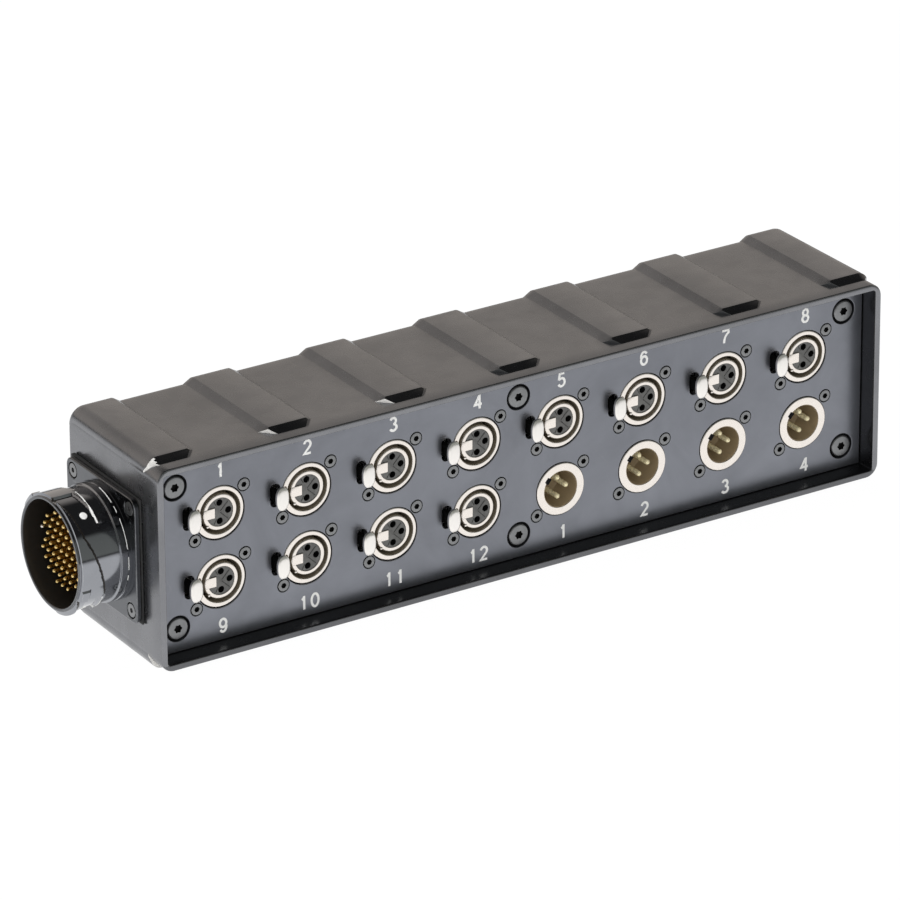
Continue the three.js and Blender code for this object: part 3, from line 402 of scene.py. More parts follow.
def dark_plating(name, colour, low, high):
    """Glossy dark plating that shines through where its edges are rubbed."""
    material, tree, shader = new_material(name, metallic=1.0)
    grain = group_node(tree, mould_grain, grain_scale=2200.0, mottle_scale=60.0)
    tone = mottled(tree, grain["Mottle"], colour, 0.9, 1.1)
    worn = group_node(tree, edge_wear, amount=0.9, radius=0.0003, breakup_scale=260.0)
    scratch = group_node(tree, fine_scratches, scale=120.0, coverage=0.12)
    rub = maths(tree, "MAXIMUM", worn["Mask"], scratch["Mask"])
    tone = blend_colours(tree, rub, tone, WORN_PLATING)
    rough = between(tree, grain["Blotch"], 0.3, 0.7, low, high)
    feed(tree, shader, Base_Color=tone, Roughness=rough)
    bump(tree, shader, grain["Grain"], 0.03, 0.0001)
    return material


def plain_plastic(name, colour, low, high, texture=0.08, spread=0.12, specular=0.45):
    material, tree, shader = new_material(name, specular=specular)
    grain = group_node(tree, mould_grain, grain_scale=1500.0, mottle_scale=260.0)
    share = between(tree, grain["Mottle"], 0.3, 0.7)
    tone = mottled(tree, share, colour, 1 - spread, 1 + spread)
    rough = between(tree, grain["Blotch"], 0.3, 0.7, low, high)
    feed(tree, shader, Base_Color=tone, Roughness=rough)
    bump(tree, shader, grain["Grain"], texture, 0.0001)
    return material


# Tints that no setting changes
WORN_PLATING = (0.62, 0.62, 0.62)
FIXED_TINTS = {
    "multipin_insert": (0.022, 0.014, 0.008),
    # The lining tint also paints the shade behind the ramps' steps
    "lining": (0.014, 0.012, 0.010),
    "gasket": (0.03, 0.03, 0.03),
    "loom": (0.04, 0.04, 0.04),
    # Near black for sockets, holes and the parts behind the panel: painted shade
    "socket": (0.004, 0.004, 0.004),
}

# Each finish: the function that makes it, its tint and the share of that, its roughness from and
# to, and what differs from the function's own values
FINISHES = {
    "housing_coat": (satin_coat, "coat", 1.0, 0.23, 0.31, {}),
    # The rim gets a lighter, glossier copy of the coat as a painted sheen, and its low side a
    # darker copy as painted shade
    "rim_coat": (satin_coat, "coat", 1.12, 0.18, 0.26, {}),
    "low_rim_coat": (satin_coat, "coat", 0.7, 0.24, 0.32, {}),
    # The coat where it lies in the shade of the rim
    "recess_shade": (satin_coat, "recess", 1.0, 0.20, 0.30, {"wear": 0.4, "scratches": 0.06}),
    "panel_satin": (satin_coat, "panel", 1.0, 0.30, 0.36,
                    {"grain_scale": 2200.0, "wear": 0.3, "scratches": 0.07}),
    "rubbed_coat": (plain_plastic, "rubbed", 1.0, 0.4, 0.55, {"spread": 0.3}),
    "nickel_plate": (plated, "nickel", 1.0, 0.20, 0.30, {}),
    "bright_plate": (plated, "bright", 1.0, 0.30, 0.36, {"scratches": 0.06}),
    "cup_plate": (plated, "cup", 1.0, 0.34, 0.46, {"metallic": 0.1}),
    "gold_plate": (plated, "gold", 1.0, 0.18, 0.28, {"scratches": 0.1}),
    "pin_plate": (plated, "pins", 1.0, 0.22, 0.32, {"metallic": 0.35}),
    "blackened_steel": (blackened, "screw", 1.0, 0.30, 0.42, {}),
    "flange_black": (dark_plating, "flange", 1.0, 0.16, 0.24, {}),
    "black_shell": (dark_plating, "barrel", 1.0, 0.07, 0.12, {}),
    "insert_plastic": (plain_plastic, "insert", 1.0, 0.45, 0.6,
                       {"spread": 0.22, "specular": 0.15}),
    "insert_relief": (plain_plastic, "relief", 1.0, 0.4, 0.5, {"specular": 0.3}),
    "groove_dark": (plain_plastic, "shade", 1.0, 0.45, 0.6, {"specular": 0.25}),
    "multipin_insert_dark": (plain_plastic, "multipin_insert", 1.0, 0.4, 0.5,
                             {"specular": 0.3}),
    "barrel_lining": (plain_plastic, "lining", 1.0, 0.3, 0.4, {"specular": 0.35}),
    "gasket_coat": (plain_plastic, "gasket", 1.0, 0.7, 0.85, {"texture": 0.2}),
    "loom_jacket": (plain_plastic, "loom", 1.0, 0.5, 0.65, {}),
    "socket_black": (plain_plastic, "socket", 1.0, 0.6, 0.7, {"specular": 0.1}),
    "number_white": (plain_plastic, "print_white", 1.0, 0.5, 0.6,
                     {"texture": 0.02, "spread": 0.03}),
}


def finish(name):
    """A material by its name in FINISHES, made the first time that it is asked for."""
    made = bpy.data.materials.get(name)
    if made:
        return made
    maker, tint_name, share, low, high, extra = FINISHES[name]
    colour = FIXED_TINTS.get(tint_name) or getattr(finishes(), tint_name)
    return maker(name, [c * share for c in colour], low, high, **extra)


# Outlines


def filleted(corners, steps=4):
    """A closed outline with its corners rounded. Each corner is (x, y, radius)."""
    outline = []
    count = len(corners)
    for i, (x, y, radius) in enumerate(corners):
        here = Vector((x, y))
        back = (Vector(corners[i - 1][:2]) - here).normalized()
        ahead = (Vector(corners[(i + 1) % count][:2]) - here).normalized()
        angle = back.angle(ahead)
        if radius <= 0 or math.pi - angle < 0.02:
            outline.append(here)
            continue
        centre = here + (back + ahead).normalized() * (radius / math.sin(angle / 2))
        reach = radius / math.tan(angle / 2)
        spoke = here + back * reach - centre
        turn = math.pi - angle
        if spoke.x * (here - centre).y - spoke.y * (here - centre).x < 0:
            turn = -turn
        for k in range(steps + 1):
            outline.append(centre + Matrix.Rotation(turn * k / steps, 2) @ spoke)
    return outline


def polar(radius, angle, x=0.0, y=0.0):
    """The point at an angle on a circle round (x, y)."""
    return Vector((x + radius * math.cos(angle), y + radius * math.sin(angle)))


def circle(radius, count, x=0.0, y=0.0):
    return [polar(radius, math.tau * k / count, x, y) for k in range(count)]


def rounded_box_outline(width, height, radius, x=0.0, y=0.0):
    w, h = width / 2, height / 2
    corners = [(x - w, y - h, radius), (x + w, y - h, radius),
               (x + w, y + h, radius), (x - w, y + h, radius)]
    return filleted(corners, 5)


def hexagon(radius, softness):
    """A hexagonal screw socket."""
    return filleted([(*polar(radius, math.tau * k / 6), softness) for k in range(6)], 2)


def star_outline(radius, inner_share, points):
    """A star-shaped screw socket."""
    outline = []
    for k in range(2 * points):
        r = radius if k % 2 == 0 else radius * inner_share
        outline.append((*polar(r, math.pi * k / points), 0.12 * radius))
    return filleted(outline, 2)


def inset(outline, distance):
    """Moves a counter-clockwise outline inwards."""
    moved = []
    count = len(outline)
    for i, point in enumerate(outline):
        along = (outline[(i + 1) % count] - outline[i - 1]).normalized()
        moved.append(point + left_of(along) * distance)
    return moved


def left_of(direction):
    return Vector((-direction.y, direction.x))


def densify(outline):
    """Puts a point in the middle of each line of an outline."""
    dense = []
    for i, p in enumerate(outline):
        dense += [p, p.lerp(outline[(i + 1) % len(outline)], 0.5)]
    return dense


# Solid turned profiles end this far from their axis
AXIS = 0.01


def tube(inner, outer, front, back):
    """The profile of a plain ring, as (radius, depth)."""
    return [(inner, front), (outer, front), (outer, back), (inner, back)]


def pin_profile(radius, tip, foot, dome=1.0):
    """A round pin with a domed tip, as (radius, depth). Dome is its height over its radius."""
    profile = [(AXIS, tip)]
    for k in range(1, 7):
        a = math.radians(15 * k)
        profile.append((radius * math.sin(a), tip + radius * dome * (1 - math.cos(a))))
    return profile + [(radius, foot), (AXIS, foot)]


# Mesh makers


class Shape:
    """Collects faces in millimetres. Facing decides where an outline's x, y and depth go."""

    FACINGS = {
        "front": lambda x, y, depth: (x, depth, y),
        "left": lambda x, y, depth: (depth, -x, y),
    }

    def __init__(self):
        self.points = []
        self.faces = []

    def ring(self, points):
        start = len(self.points)
        self.points.extend(tuple(p) for p in points)
        return list(range(start, len(self.points)))

    def bridge(self, first, second):
        for i in range(len(first)):
            j = (i + 1) % len(first)
            self.faces.append((first[i], first[j], second[j], second[i]))

    def cap(self, ring):
        self.faces.append(tuple(ring))

    def loft(self, rings):
        """Bridges the rings from the first to the last, and closes both ends."""
        made = [self.ring(r) for r in rings]
        for a, b in zip(made, made[1:]):
            self.bridge(a, b)
        self.cap(made[0])
        self.cap(made[-1])

    def turned(self, profile, sides, facing="front", x=0.0, y=0.0):
        """A closed profile of (radius, depth), turned about its axis."""
        place = self.FACINGS[facing]
        rings = []
        for k in range(sides):
            angle = math.tau * k / sides
            c, s = math.cos(angle), math.sin(angle)
            rings.append(self.ring(place(x + r * c, y + r * s, d) for r, d in profile))
        self.close_round(rings)

    def close_round(self, rings):
        """Bridges each ring to the next one, and the last to the first."""
        for k, ring in enumerate(rings):
            self.bridge(ring, rings[(k + 1) % len(rings)])

    def plate(self, outline, low, high, edge=0.0):
        """A flat plate with rounded edges, from the low depth to the high one."""
        rings = []
        for depth, sign in ((low, 1), (high, -1)):
            part = []
            for degrees in range(0, 91, 30) if edge > 0 else (90,):
                a = math.radians(degrees)
                moved = inset(outline, edge * (1 - math.sin(a)))
                d = depth + sign * edge * (1 - math.cos(a))
                part.append([(p.x, d, p.y) for p in moved])
            rings += part[::sign]
        self.loft(rings)

    def dome(self, outline, low, high, crown, steps, edge):
        """A plate whose low face bulges outwards by crown."""
        middle = sum(outline, Vector((0, 0))) / len(outline)
        tip = [middle + (p - middle) * 0.02 for p in outline]
        rings = [[(p.x, low - crown, p.y) for p in tip]]
        for k in range(1, steps + 1):
            share = k / steps
            d = low + edge - (crown + edge) * math.sqrt(max(0.0, 1 - share ** 2.4))
            wider = [middle + (p - middle) * share for p in outline]
            rings.append([(p.x, d, p.y) for p in wider])
        rings.append([(p.x, high, p.y) for p in outline])
        self.loft(rings)


def finish_mesh(mesh, smooth_angle=38.0):
    body = bmesh.new()
    body.from_mesh(mesh)
    bmesh.ops.remove_doubles(body, verts=body.verts, dist=1e-7)
    bmesh.ops.recalc_face_normals(body, faces=body.faces)
    body.to_mesh(mesh)
    body.free()
    mesh.shade_smooth()
    mesh.set_sharp_from_angle(angle=math.radians(smooth_angle))


def mesh_of(name, shape, material, smooth_angle=38.0):
    mesh = bpy.data.meshes.new(name)
    mesh.from_pydata([Vector(p) * MM for p in shape.points], [], shape.faces)
    finish_mesh(mesh, smooth_angle)
    mesh.materials.append(material)
    return mesh


def place_piece(name, mesh, slot, body="box", x=0.0, y=0.0, z=0.0, replaces=()):
    piece = bpy.data.objects.new(name, mesh)
    bpy.context.scene.collection.objects.link(piece)
    piece.location = Vector((x, y, z)) * MM
    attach(piece, body)
    if replaces:
        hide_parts(*replaces)


def holed_plate(name, outlines, thickness, edge, material):
    """A flat plate with holes, centred on the XZ plane, its front at y = 0."""
    curve = bpy.data.curves.new(name, "CURVE")
    curve.dimensions = "2D"
    curve.fill_mode = "BOTH"
    curve.extrude = (thickness / 2 - edge) * MM
    curve.bevel_depth = edge * MM
    curve.bevel_resolution = 1
    curve.offset = -edge * MM
    for outline in outlines:
        spline = curve.splines.new("POLY")
        spline.points.add(len(outline) - 1)
        for point, place in zip(spline.points, outline):
            point.co = (place.x * MM, place.y * MM, 0.0, 1.0)
        spline.use_cyclic_u = True
    holder = bpy.data.objects.new(name + "_outline", curve)
    bpy.context.scene.collection.objects.link(holder)
    graph = bpy.context.evaluated_depsgraph_get()
    mesh = bpy.data.meshes.new_from_object(holder.evaluated_get(graph))
    bpy.data.objects.remove(holder)
    bpy.data.curves.remove(curve)
    mesh.name = name
    mesh.transform(Matrix.Rotation(math.pi / 2, 4, "X"))
    mesh.transform(Matrix.Translation((0.0, thickness / 2 * MM, 0.0)))
    finish_mesh(mesh, 12.0)
    mesh.materials.clear()
    mesh.materials.append(material)
    return mesh


# Stage

# What glossy rays see above the horizon, by the sine of the elevation: red, green, blue
STUDIO_BEHIND = (
    (0.0, 0.70, 0.64, 0.58),
    (0.43, 0.62, 0.56, 0.50),
    (0.52, 0.52, 0.48, 0.44),
    (0.67, 0.47, 0.43, 0.39),
    (0.80, 0.03, 0.03, 0.03),
)
STUDIO_IN_FRONT = (
    (0.0, 0.28, 0.29, 0.27),
    (0.55, 0.24, 0.25, 0.235),
    (0.64, 0.03, 0.03, 0.03),
)

# The camera of the photograph, by degrees, millimetres and pixels of its 900 x 900 frame
AZIMUTH = -32.355
ELEVATION = 24.233
ROLL = -0.385
CAMERA_DISTANCE = 2922.4
AIM_ACROSS = 29.43
AIM_UP = -6.994
PIXELS_PER_MM = 2.334
FRAME_PIXELS = 900
SENSOR_MM = 36.0

# The lamps: name, place in metres, width and power
LAMPS = (
    ("softbox_top", (-0.2, 0.9, 1.9), 1.8, 26.0),
    ("softbox_front", (-0.7, -2.0, 0.7), 1.4, 24.0),
    ("softbox_left", (-2.2, 0.1, 0.8), 1.2, 16.0),
)
# How bright the world is to matt surfaces, and the floor to the camera
WORLD_STRENGTH = 0.42
FLOOR_STRENGTH = 1.03
# How much of the floor the camera sees as plain white. The rest takes the shadows
FLOOR_WHITENESS = 0.95
# Glossy rays see the floor fade between these distances, in metres
FLOOR_FADE_FROM = 0.30
FLOOR_FADE_TO = 0.85
FLOOR_FADED = 0.10
FLOOR_RADIUS = 6000.0
FLOOR_DROP = 0.05
WHITE = (1, 1, 1, 1)


def mix_shaders(tree, share, first, second):
    inputs = {0: share, 1: first.outputs[0], 2: second.outputs[0]}
    return put(tree, "ShaderNodeMixShader", inputs)


def ray_kinds(tree):
    """Whether a ray comes from the camera, and whether from a glossy surface or glass."""
    path = put(tree, "ShaderNodeLightPath").outputs
    glossy = maths(tree, "MAXIMUM", path["Is Glossy Ray"], path["Is Transmission Ray"])
    return path["Is Camera Ray"], glossy


class STAGEBOX_OT_stage(Operator):
    """Makes the floor, the lamps, the world and the camera"""

    bl_idname = "stage_box.stage"
    bl_label = "Stage"

    def execute(self, context):
        scene = context.scene
        scene.view_settings.view_transform = "Standard"
        self.camera(scene)
        self.world(scene)
        self.floor(scene)
        self.lamps(scene)
        return {"FINISHED"}

    def camera(self, scene):
        a, e, roll = (math.radians(v) for v in (AZIMUTH, ELEVATION, ROLL))
        back = Vector((math.sin(a) * math.cos(e), -math.cos(a) * math.cos(e), math.sin(e)))
        right = Vector((math.cos(a), math.sin(a), 0.0))
        up = back.cross(right)
        c, s = math.cos(roll), math.sin(roll)
        across = right * c + up * s
        upward = up * c - right * s
        centre = Vector((0.0, PANEL_Y, MULTIPIN_CENTRE.z))
        place = centre - across * AIM_ACROSS - upward * AIM_UP + back * CAMERA_DISTANCE
        lens = bpy.data.cameras.new("photo_camera")
        lens.sensor_width = SENSOR_MM
        lens.lens = PIXELS_PER_MM * CAMERA_DISTANCE * SENSOR_MM / FRAME_PIXELS
        lens.clip_end = 20.0
        camera = bpy.data.objects.new("photo_camera", lens)
        turned = Matrix((across, upward, back)).transposed().to_4x4()
        camera.matrix_world = Matrix.Translation(place * MM) @ turned
        scene.collection.objects.link(camera)
        scene.camera = camera

    def world(self, scene):
        """White to the camera, and a studio that darkens upwards to glossy rays."""
        world = bpy.data.worlds.new("studio")
        scene.world = world
        world.use_nodes = True
        tree = world.node_tree
        tree.nodes.clear()
        from_camera, glossy = ray_kinds(tree)
        direction = put(tree, "ShaderNodeTexCoord").outputs["Generated"]
        parts = put(tree, "ShaderNodeSeparateXYZ", {0: direction}).outputs
        behind = between(tree, parts[1], -0.12, 0.12)
        studio = blend_colours(tree, behind, ramp(tree, parts[2], STUDIO_IN_FRONT),
                               ramp(tree, parts[2], STUDIO_BEHIND))
        plain, seen, mirrored = (
            put(tree, "ShaderNodeBackground", {"Color": colour, "Strength": strength})
            for colour, strength in ((WHITE, WORLD_STRENGTH), (WHITE, 1.0), (studio, 1.0)))
        lit = mix_shaders(tree, glossy, plain, mirrored)
        out = put(tree, "ShaderNodeOutputWorld")
        tree.links.new(mix_shaders(tree, from_camera, lit, seen).outputs[0],
                       out.inputs["Surface"])

    def floor(self, scene):
        """White, with the object's shadow, and darker far away to glossy rays."""
        mesh = bpy.data.meshes.new("floor")
        points = [Vector((p.x, p.y, -FLOOR_DROP)) * MM for p in circle(FLOOR_RADIUS, 96)]
        mesh.from_pydata(points, [], [tuple(range(len(points)))])
        material = bpy.data.materials.new("floor_white")
        material.use_nodes = True
        tree = material.node_tree
        tree.nodes.clear()
        from_camera, glossy = ray_kinds(tree)
        spot = put(tree, "ShaderNodeNewGeometry").outputs["Position"]
        squeezed = put(tree, "ShaderNodeVectorMath", {0: spot, 1: (0.5, 1.0, 1.0)},
                       operation="MULTIPLY").outputs[0]
        away = put(tree, "ShaderNodeVectorMath", {0: squeezed}, operation="LENGTH")
        faded = between(tree, away.outputs["Value"], FLOOR_FADE_FROM, FLOOR_FADE_TO, 1.0,
                        FLOOR_FADED)
        matt = put(tree, "ShaderNodeBsdfDiffuse", {"Color": (0.9, 0.9, 0.9, 1)})
        white, mirrored = (
            put(tree, "ShaderNodeEmission", {"Color": WHITE, "Strength": strength})
            for strength in (FLOOR_STRENGTH, faded))
        seen = maths(tree, "MULTIPLY", from_camera, FLOOR_WHITENESS)
        direct = mix_shaders(tree, seen, matt, white)
        out = put(tree, "ShaderNodeOutputMaterial")
        tree.links.new(mix_shaders(tree, glossy, direct, mirrored).outputs[0],
                       out.inputs["Surface"])
        mesh.materials.append(material)
        floor = bpy.data.objects.new("floor", mesh)
        scene.collection.objects.link(floor)

    def lamps(self, scene):
        aim = Vector((0.0, 0.0, MULTIPIN_CENTRE.z)) * MM
        for name, place, width, power in LAMPS:
            light = bpy.data.lights.new(name, "AREA")
            light.shape = "SQUARE"
            light.size = width
            light.energy = power
            lamp = bpy.data.objects.new(name, light)
            lamp.location = Vector(place)
            lamp.rotation_euler = (aim - lamp.location).to_track_quat("-Z", "Y").to_euler()
            scene.collection.objects.link(lamp)
            lamp.visible_camera = False
            lamp.visible_glossy = False


# Housing


# How far the ribs reach into the faces that they stand on
RIB_SINK = 1.0
# The rounding of the rim's inner and outer edge
RIM_INNER_EDGE = 0.5
RIM_OUTER_EDGE = 0.7
# From the panel's back to the ledge behind it
LEDGE_GAP = 0.3
# The left-hand rib corners that face left and front, up to here along the box, get a bright coat:
# a painted highlight on rubbed corners
RUBBED_HIGHLIGHT_TO = -20.0


class HousingSkin:
    """Gives the points of the housing's rounded and recessed skin and of its ribs."""

    RIBS = 7
    CORNER_STEPS = 10
    # The steps from the middle of the outline to its corners, along the box and up an end
    LENGTH_STEPS = 14
    HEIGHT_STEPS = 7
    # The lean of the ends, by degrees
    DRAFT = 1.0
    # The depths of the outer skin's rings between its front and back edges
    RING_DEPTHS = (-30.0, -20.0, -12.0, -4.0, 4.0, 12.0, 20.0, 28.0)
    # A rib's sections along its flat top, by how far they are in front of where it starts
    RIB_STEPS = (-8.0, -24.0, -40.0)
    # The rings of the back, by how far they are in from its edge
    BACK_STEPS = (2.0, 8.0, 18.0, 36.0)

    def __init__(self):
        s = housing_sizes()
        self.half_length = HOUSING_HIGH.x
        self.rim_y = HOUSING_LOW.y
        self.back_y = HOUSING_HIGH.y
        self.height = mm(s.rib_height)
        self.middle_z = (HOUSING_LOW.z + HOUSING_HIGH.z) / 2
        self.half_height = (HOUSING_HIGH.z - HOUSING_LOW.z) / 2 - self.height
        self.radius = mm(s.corner_radius)
        self.back_radius = mm(s.back_radius)
        self.back_end_radius = mm(s.back_end_radius)
        self.pitch = mm(s.rib_pitch)
        self.rib_half = mm(s.rib_top_width) / 2
        self.slope = mm(s.rib_slope)
        self.front_top_y = self.rim_y + mm(s.rib_setback) + self.slope
        self.cut = self.rib_half + mm(s.rib_corner)
        self.lean = math.tan(math.radians(self.DRAFT))
        self.end_rib = self.pitch * (self.RIBS // 2)
        self.samples = self.outline_samples()

    def length_lines(self):
        limit = self.half_length - self.radius - 0.2
        steps = self.LENGTH_STEPS
        return [limit * (k / steps - 1) for k in range(2 * steps + 1)]

    def outline_samples(self):
        """Points round the outside as (x, z, side), counter-clockwise from the lower left."""
        along = self.length_lines()
        up = self.side_lines()
        samples = [(x, -self.half_height, -1) for x in along]
        samples += self.corner(1, -1)
        samples += [(self.half_length, z, 0) for z in up]
        samples += self.corner(1, 1)
        samples += [(x, self.half_height, 1) for x in reversed(along)]
        samples += self.corner(-1, 1)
        samples += [(-self.half_length, -z, 0) for z in up]
        samples += self.corner(-1, -1)
        return samples

    def side_lines(self):
        limit = self.half_height - self.radius
        steps = self.HEIGHT_STEPS
        return [limit * (k / steps - 1) for k in range(1, 2 * steps)]

    def corner(self, across, upward):
        """The points of one long corner. They belong to the top or the bottom."""
        start = {(1, -1): -90, (1, 1): 0, (-1, 1): 90, (-1, -1): 180}[(across, upward)]
        cx = across * (self.half_length - self.radius)
        cz = upward * (self.half_height - self.radius)
        points = []
        for k in range(self.CORNER_STEPS + 1):
            angle = math.radians(start + 90 * k / self.CORNER_STEPS)
            points.append((cx + self.radius * math.cos(angle),
                           cz + self.radius * math.sin(angle), upward))
        return points

    def rib_half_section(self, ahead, outwards):
        """From a rib's middle to its side: (distance, height over the flat face).

        Ahead is how far the section is in front of the rib's top. The outer side of an end rib
        runs round the long corner of the box."""
        height = self.height * (1 - max(0.0, ahead) / self.slope)
        cut = min(self.rib_half + self.slope, self.cut - ahead)
        flat = min(self.rib_half + max(0.0, ahead), cut)
        if not outwards:
            side = min(height, self.height * (1 - (cut - self.rib_half) / self.slope))
            return [(flat, height), (cut, side), (cut, -RIB_SINK)]
        bend = self.half_length - self.radius - self.end_rib
        reach = min(self.half_length - self.end_rib, max(bend + 0.5, self.cut - ahead))
        turn = math.asin(min(1.0, (reach - bend) / self.radius))
        section = []
        for k in range(self.CORNER_STEPS + 1):
            angle = turn * k / self.CORNER_STEPS
            section.append((bend + self.radius * math.sin(angle),
                            height - self.radius * (1 - math.cos(angle))))
        low = section[-1][1] - height - RIB_SINK
        return section + [(reach - 0.4, low)]

    def rib_section(self, number, side, y, drop):
        """The points of a rib across the box at a depth."""
        centre = number * self.pitch - self.end_rib
        ahead = self.front_top_y - y
        squeeze = 1 - self.shrink(y, self.back_end_radius) / self.half_length
        left = self.rib_half_section(ahead, number == 0)
        right = self.rib_half_section(ahead, number == self.RIBS - 1)
        across = [(-dx, rise) for dx, rise in reversed(left)] + right
        return [(self.lean_in((centre + dx) * squeeze, y), y,
                 self.middle_z + side * (self.half_height + rise - drop))
                for dx, rise in across]

    def rib_rings(self, number, side):
        """The sections of a rib, from its foot at the front to the back edge."""
        meet = self.cut - self.rib_half
        aheads = [self.slope, (self.slope + meet / 2) / 2, meet / 2, 0.0, meet - self.slope]
        rings = [self.rib_section(number, side, self.front_top_y - ahead, 0.0)
                 for ahead in (*aheads, *self.RIB_STEPS)]
        for degrees in range(0, 90, 12):
            angle = math.radians(degrees)
            y = self.back_y - self.back_radius * (1 - math.sin(angle))
            drop = self.back_radius * (1 - math.cos(angle))
            rings.append(self.rib_section(number, side, y, drop))
        return rings

    def lean_in(self, x, y):
        """Only the outermost part of the housing follows the leaning ends."""
        still = self.half_length - self.rib_half * 2 - self.slope * 2
        if abs(x) <= still:
            return x
        end = self.half_length - (y - self.rim_y) * self.lean
        share = (end - still) / (self.half_length - still)
        return math.copysign(still + (abs(x) - still) * share, x)

    def outer(self, y, shrink_x=0.0, shrink_z=0.0):
        """One ring of the outer skin at a depth."""
        points = []
        for x, z, _ in self.samples:
            px = x * (1 - shrink_x / self.half_length)
            pz = z * (1 - shrink_z / self.half_height)
            points.append((self.lean_in(px, y), y, self.middle_z + pz))
        return points

    def inner(self, y, wall, radius):
        """One ring of the inner skin, at a wall's thickness from the outer one."""
        half_x = self.half_length - wall
        half_z = self.half_height - wall
        flat_x = self.half_length - self.radius
        flat_z = self.half_height - self.radius
        points = []
        for x, z, side in self.samples:
            over_x = abs(x) - flat_x
            over_z = abs(z) - flat_z
            if over_x > -0.001 and over_z > -0.001:
                angle = math.atan2(over_z, over_x)
                px = math.copysign(half_x - radius + radius * math.cos(angle), x)
                pz = math.copysign(half_z - radius + radius * math.sin(angle), z)
            elif side == 0:
                px = math.copysign(half_x, x)
                pz = z * (half_z - radius) / flat_z
            else:
                px = x * (half_x - radius) / flat_x
                pz = math.copysign(half_z, z)
            points.append((self.lean_in(px, y), y, self.middle_z + pz))
        return points

    def depth_lines(self):
        lines = list(self.RING_DEPTHS)
        for radius in (self.back_radius, self.back_end_radius):
            lines += [self.back_y - radius * (1 - math.sin(math.radians(a)))
                      for a in range(0, 91, 10)]
        cleaned = []
        for y in sorted(lines):
            if y > self.back_y + 1e-6 or (cleaned and y - cleaned[-1] < 0.05):
                continue
            cleaned.append(y)
        return cleaned

    def shrink(self, y, radius):
        over = y - (self.back_y - radius)
        if over <= 0:
            return 0.0
        return radius - math.sqrt(max(0.0, radius ** 2 - over ** 2))


def housing_shape():
    s = housing_sizes()
    skin = HousingSkin()
    shape = Shape()
    rim = mm(s.rim_wall)
    wall = mm(s.wall)
    recess_radius = mm(s.recess_corner)
    ledge_y = PANEL_HIGH.y + LEDGE_GAP
    rings = [
        skin.inner(skin.back_y - wall, wall, recess_radius),
        skin.inner(ledge_y, wall, recess_radius),
        skin.inner(ledge_y, rim, recess_radius),
    ]
    edge = RIM_INNER_EDGE
    for part in (0.35, 0.7, 0.93):
        y = ledge_y + (skin.rim_y + edge - ledge_y) * part
        rings.append(skin.inner(y, rim, recess_radius))
    for k in range(1, 4):
        a = math.radians(30 * k)
        y = skin.rim_y + edge * (1 - math.sin(a))
        rings.append(skin.inner(y, rim - edge * (1 - math.cos(a)), recess_radius + edge))
    for k in range(4):
        a = math.radians(30 * k)
        shrink = RIM_OUTER_EDGE * (1 - math.sin(a))
        y = skin.rim_y + RIM_OUTER_EDGE * (1 - math.cos(a))
        rings.append(skin.outer(y, shrink, shrink))
    for y in skin.depth_lines():
        rings.append(skin.outer(y, skin.shrink(y, skin.back_end_radius),
                                skin.shrink(y, skin.back_radius)))
    for inwards in skin.BACK_STEPS:
        rings.append(skin.outer(skin.back_y, skin.back_end_radius + inwards,
                                skin.back_radius + inwards))
    shape.loft(rings)
    return shape


class STAGEBOX_OT_housing(Operator):
    """Makes the ribbed moulded housing"""

    bl_idname = "stage_box.housing"
    bl_label = "Housing"

    def execute(self, context):
        mesh = mesh_of("housing_shell", housing_shape(), finish("housing_coat"), 42.0)
        for name in ("recess_shade", "rim_coat", "low_rim_coat"):
            mesh.materials.append(finish(name))
        for face in mesh.polygons:
            face.material_index = self.finish_of(face.center / MM)
        place_piece("housing_shell", mesh, "housing_rubber", replaces=["housing"])
        place_piece("housing_ribs", self.ribs(), "housing_rubber")
        return {"FINISHED"}

    def finish_of(self, centre):
        """0 for the coat, 1 for the recess walls' painted shade, 2 for the rim's painted sheen
        and 3 for its low side's painted shade.
        """
        middle = (PANEL_HIGH + PANEL_LOW) / 2
        half_height = (PANEL_HIGH.z - PANEL_LOW.z) / 2
        past_walls = max(abs(centre.x) - HOUSING_HIGH.x + mm(housing_sizes().rim_wall),
                         abs(centre.z - middle.z) - half_height)
        past_rim = centre.y - HOUSING_LOW.y
        # The recess walls take the darker coat as painted shade
        if RIM_INNER_EDGE + 0.05 < past_rim and centre.y < PANEL_HIGH.y + 1.0 and past_walls < 0.6:
            return 1
        # The rim is painted lighter as a sheen, and its part below the panel darker as painted
        # shade
        if past_rim < 0.3:
            return 3 if centre.z < PANEL_LOW.z else 2
        return 0

    def ribs(self):
        """The upper and lower ribs, with their edges slightly rounded."""
        skin = HousingSkin()
        shape = Shape()
        for side in (1, -1):
            for number in range(skin.RIBS):
                shape.loft(skin.rib_rings(number, side))
        mesh = mesh_of("housing_ribs", shape, finish("housing_coat"), 20.0)
        body = bmesh.new()
        body.from_mesh(mesh)
        sharp = [e for e in body.edges
                 if e.is_manifold and e.calc_face_angle() > math.radians(18.0)]
        bmesh.ops.bevel(body, geom=sharp, offset=housing_sizes().edge_softness, segments=2,
                        profile=0.5, affect="EDGES", clamp_overlap=True)
        body.to_mesh(mesh)
        body.free()
        finish_mesh(mesh, 35.0)
        mesh.materials.append(finish("rubbed_coat"))
        mesh.materials.append(finish("recess_shade"))
        # Corners facing left and front on the left part of the box take the bright coat, a painted
        # highlight on rubbed corners
        for face in mesh.polygons:
            towards_left_front = min(-face.normal.x, -face.normal.y)
            if towards_left_front > 0.3 and face.center.x / MM < RUBBED_HIGHLIGHT_TO:
                face.material_index = 1
            # Slopes that face the front and steeply up or down take the recess's darker coat as
            # painted shade
            elif face.normal.y < -0.35 and abs(face.normal.z) > 0.5:
                face.material_index = 2
        return mesh


# Front panel


